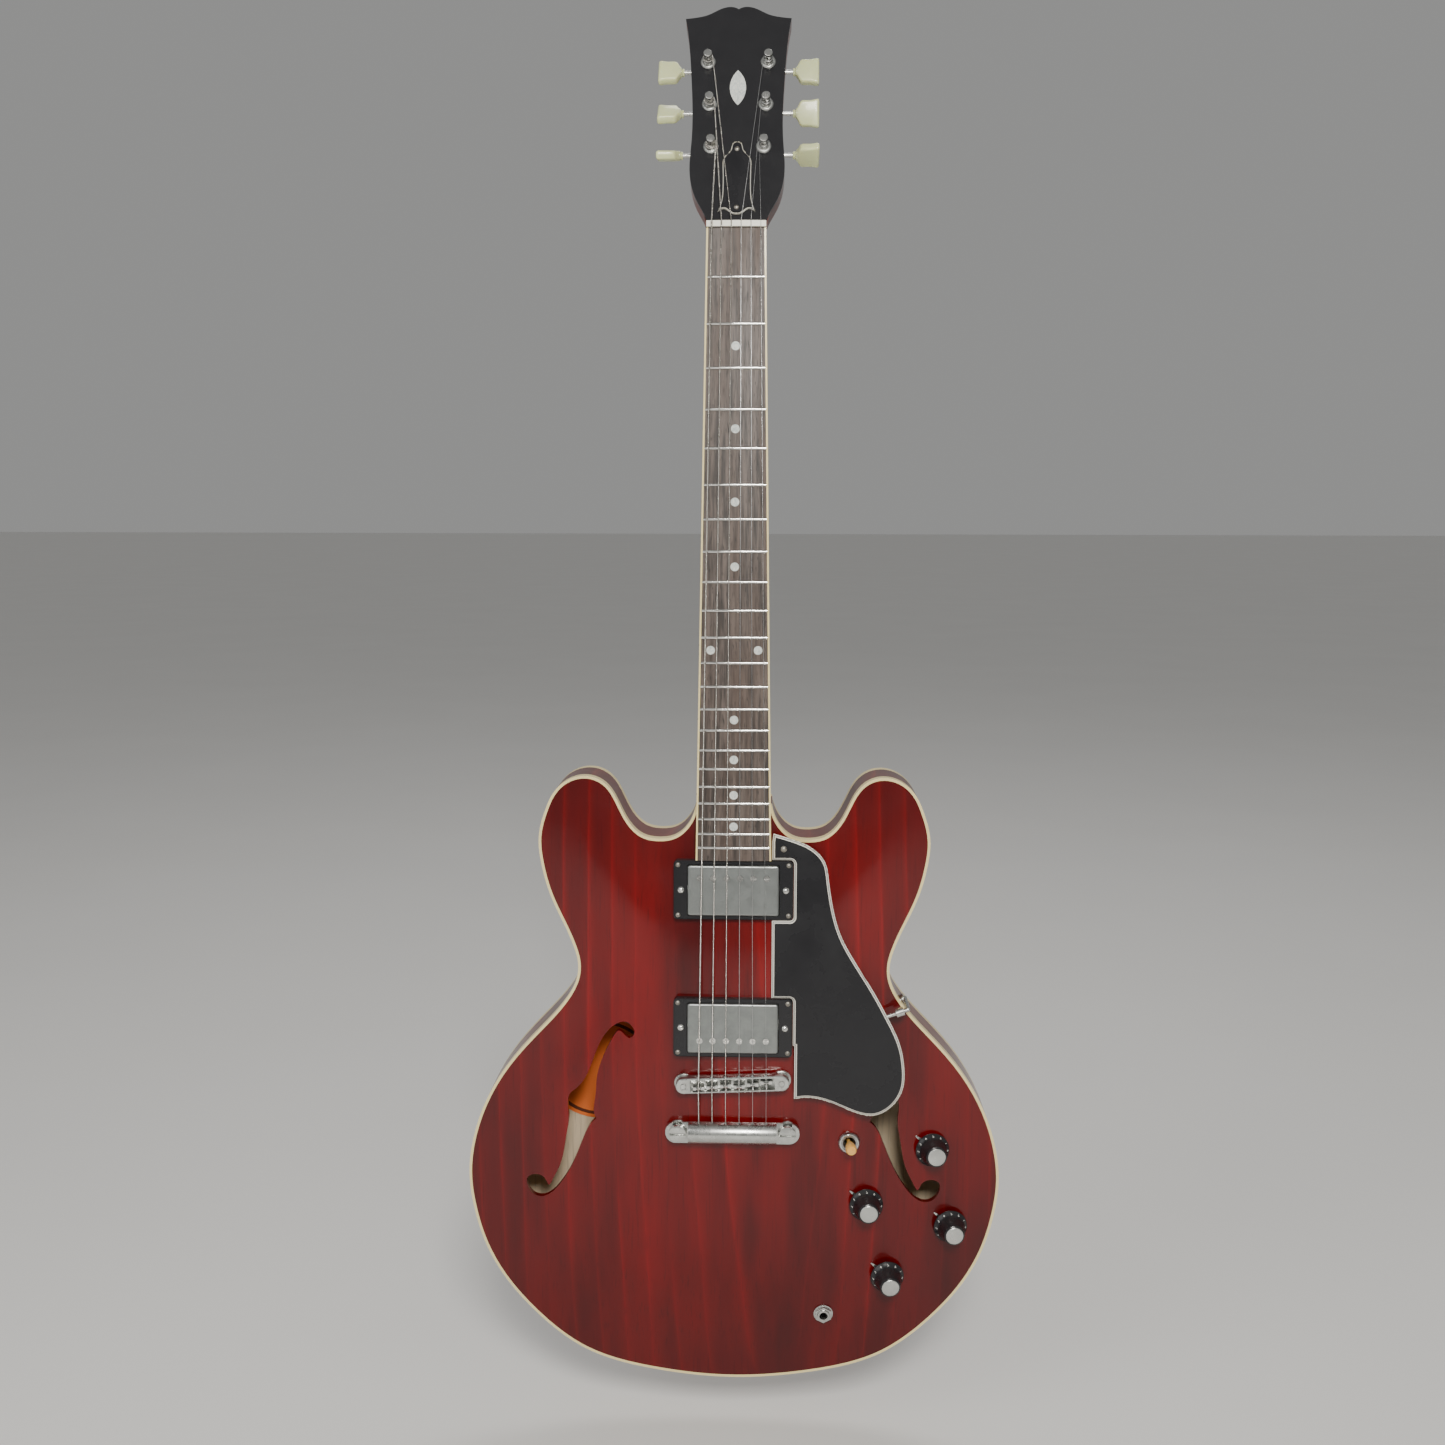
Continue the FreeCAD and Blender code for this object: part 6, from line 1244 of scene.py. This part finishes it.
class TunersOperator(bpy.types.Operator):
    """Makes the tuner housings, posts, shafts and keystone buttons"""
    bl_idname = "guitar.tuners"
    bl_label = "Tuners"

    def execute(self, context):
        finished_node("tuner_housings", "nickel", 0.2 * MM)
        finished_node("tuner_bushings", "nickel", 0.15 * MM)
        for number in range(1, 7):
            finished_node("tuner_post_%d" % number, "bright_nickel", 0.2 * MM)
            spot = key_frame(number)
            start = BUTTON_START - abs(spot.translation.x)
            body = "tuner_%d_key_turning" % number
            button = new_piece("tuner_button_%d" % number, keystone_mesh(start, spot), body, "button_plastic",
                               "tuner_key_%d" % number)
            outer_end = start + SHAFT_INTO_BUTTON
            shaft = lathe([(0.0, SHAFT_INNER_END), (SHAFT_RADIUS, SHAFT_INNER_END),
                           (SHAFT_RADIUS, outer_end), (0.0, outer_end)], 24)
            turned = to_mesh(shaft, "shaft_mesh", spot @ Matrix.Rotation(math.pi / 2, 4, "Y"))
            rod = new_piece("tuner_shaft_%d" % number, turned, body, "nickel", "tuner_key_%d" % number)
        return {"FINISHED"}


# ---- stage ----

CAMERA_PLACE = Vector((25.20, -1143.34, -191.93)) * MM
CAMERA_TURN = Vector((0.1468, 0.0042, -0.0303))
LENS = 38.0
SENSOR = 36.0
FLOOR_HALF = 30.0
FLOOR_GAP = 40 * MM
WORLD_STRENGTH = 0.42
LIGHTS = (("key", (0.2, -1.9, 0.75), (0, 0, -0.45), 46.0, 0.5, 0.5, (1.0, 0.97, 0.92)),
          ("fill", (-1.5, -1.3, 0.3), (0, 0, -0.45), 9.0, 1.0, 1.6, (1.0, 1.0, 1.0)),
          ("back", (0.4, 1.3, 2.1), (0, 0, -0.3), 20.0, 1.2, 0.8, (1.0, 1.0, 1.0)))


def add_light(name, place, aim, power, width, height, tint):
    """A rectangular area light at a place, turned to an aim point."""
    light = bpy.data.lights.new(name, "AREA")
    light.shape = "RECTANGLE"
    light.size = width
    light.size_y = height
    light.energy = power
    light.color = tint
    holder = bpy.data.objects.new(name, light)
    holder.matrix_world = Matrix.Translation(place) @ (Vector(aim) - Vector(place)).to_track_quat(
        "-Z", "Y").to_matrix().to_4x4()
    bpy.context.scene.collection.objects.link(holder)


class StageOperator(bpy.types.Operator):
    """Makes the pale floor, the soft lights and the camera"""
    bl_idname = "guitar.stage"
    bl_label = "Stage"

    def execute(self, context):
        scene = context.scene
        bm = bmesh.new()
        bmesh.ops.create_grid(bm, x_segments=1, y_segments=1, size=FLOOR_HALF)
        floor_height = CAD_BOX[0][2] - FLOOR_GAP
        mesh = to_mesh(bm, "floor_mesh", Matrix.Translation((0, 0, floor_height)))
        surface, graph, into = new_material("floor", Roughness=0.7)
        patch = graph.noise(graph.place(), 3.0, 4.0)
        tone = finish().floor
        graph.feed(into["Base Color"], graph.mix(patch, scaled(tone, 0.97), scaled(tone, 1.03)))
        mesh.materials.append(surface)
        floor = bpy.data.objects.new("floor", mesh)
        scene.collection.objects.link(floor)
        world = bpy.data.worlds.new("studio")
        world.use_nodes = True
        world.node_tree.nodes["Background"].inputs["Color"].default_value = (0.7, 0.7, 0.69, 1.0)
        world.node_tree.nodes["Background"].inputs["Strength"].default_value = WORLD_STRENGTH
        scene.world = world
        for row in LIGHTS:
            add_light(*row)
        camera = bpy.data.cameras.new("camera")
        camera.lens = LENS
        camera.sensor_width = SENSOR
        camera.clip_start = 0.05
        holder = bpy.data.objects.new("camera", camera)
        to_camera = Matrix.Rotation(CAMERA_TURN.length, 3, CAMERA_TURN.normalized())
        right, forward, up = to_camera
        turn = Matrix((right, up, -forward)).transposed().to_4x4()
        holder.matrix_world = Matrix.Translation(CAMERA_PLACE) @ turn
        scene.collection.objects.link(holder)
        scene.camera = holder
        return {"FINISHED"}


# ---- panel and run ----

STEPS = (BodyOperator, NeckOperator, GuardOperator, StringsOperator, PickupsOperator, BridgeOperator,
         ControlsOperator, TunersOperator, StageOperator)


class GuitarPanel(bpy.types.Panel):
    bl_idname = "VIEW3D_PT_guitar"
    bl_label = "Guitar"
    bl_space_type = "VIEW_3D"
    bl_region_type = "UI"
    bl_category = "Guitar"

    def draw(self, context):
        column = self.layout.column()
        for settings in (context.scene.guitar_sizes, context.scene.guitar_finish):
            for name in settings.__annotations__:
                column.prop(settings, name)
        for step in STEPS:
            column.operator(step.bl_idname)


CLASSES = (GuitarFinish, GuitarSizes) + STEPS + (GuitarPanel,)


def register():
    for made in CLASSES:
        bpy.utils.register_class(made)
    bpy.types.Scene.guitar_finish = bpy.props.PointerProperty(type=GuitarFinish)
    bpy.types.Scene.guitar_sizes = bpy.props.PointerProperty(type=GuitarSizes)


def unregister():
    del bpy.types.Scene.guitar_finish
    del bpy.types.Scene.guitar_sizes
    for made in reversed(CLASSES):
        bpy.utils.unregister_class(made)


def main():
    register()
    for step in STEPS:
        group, name = step.bl_idname.split(".")
        getattr(getattr(bpy.ops, group), name)()


if __name__ == "__main__":
    main()
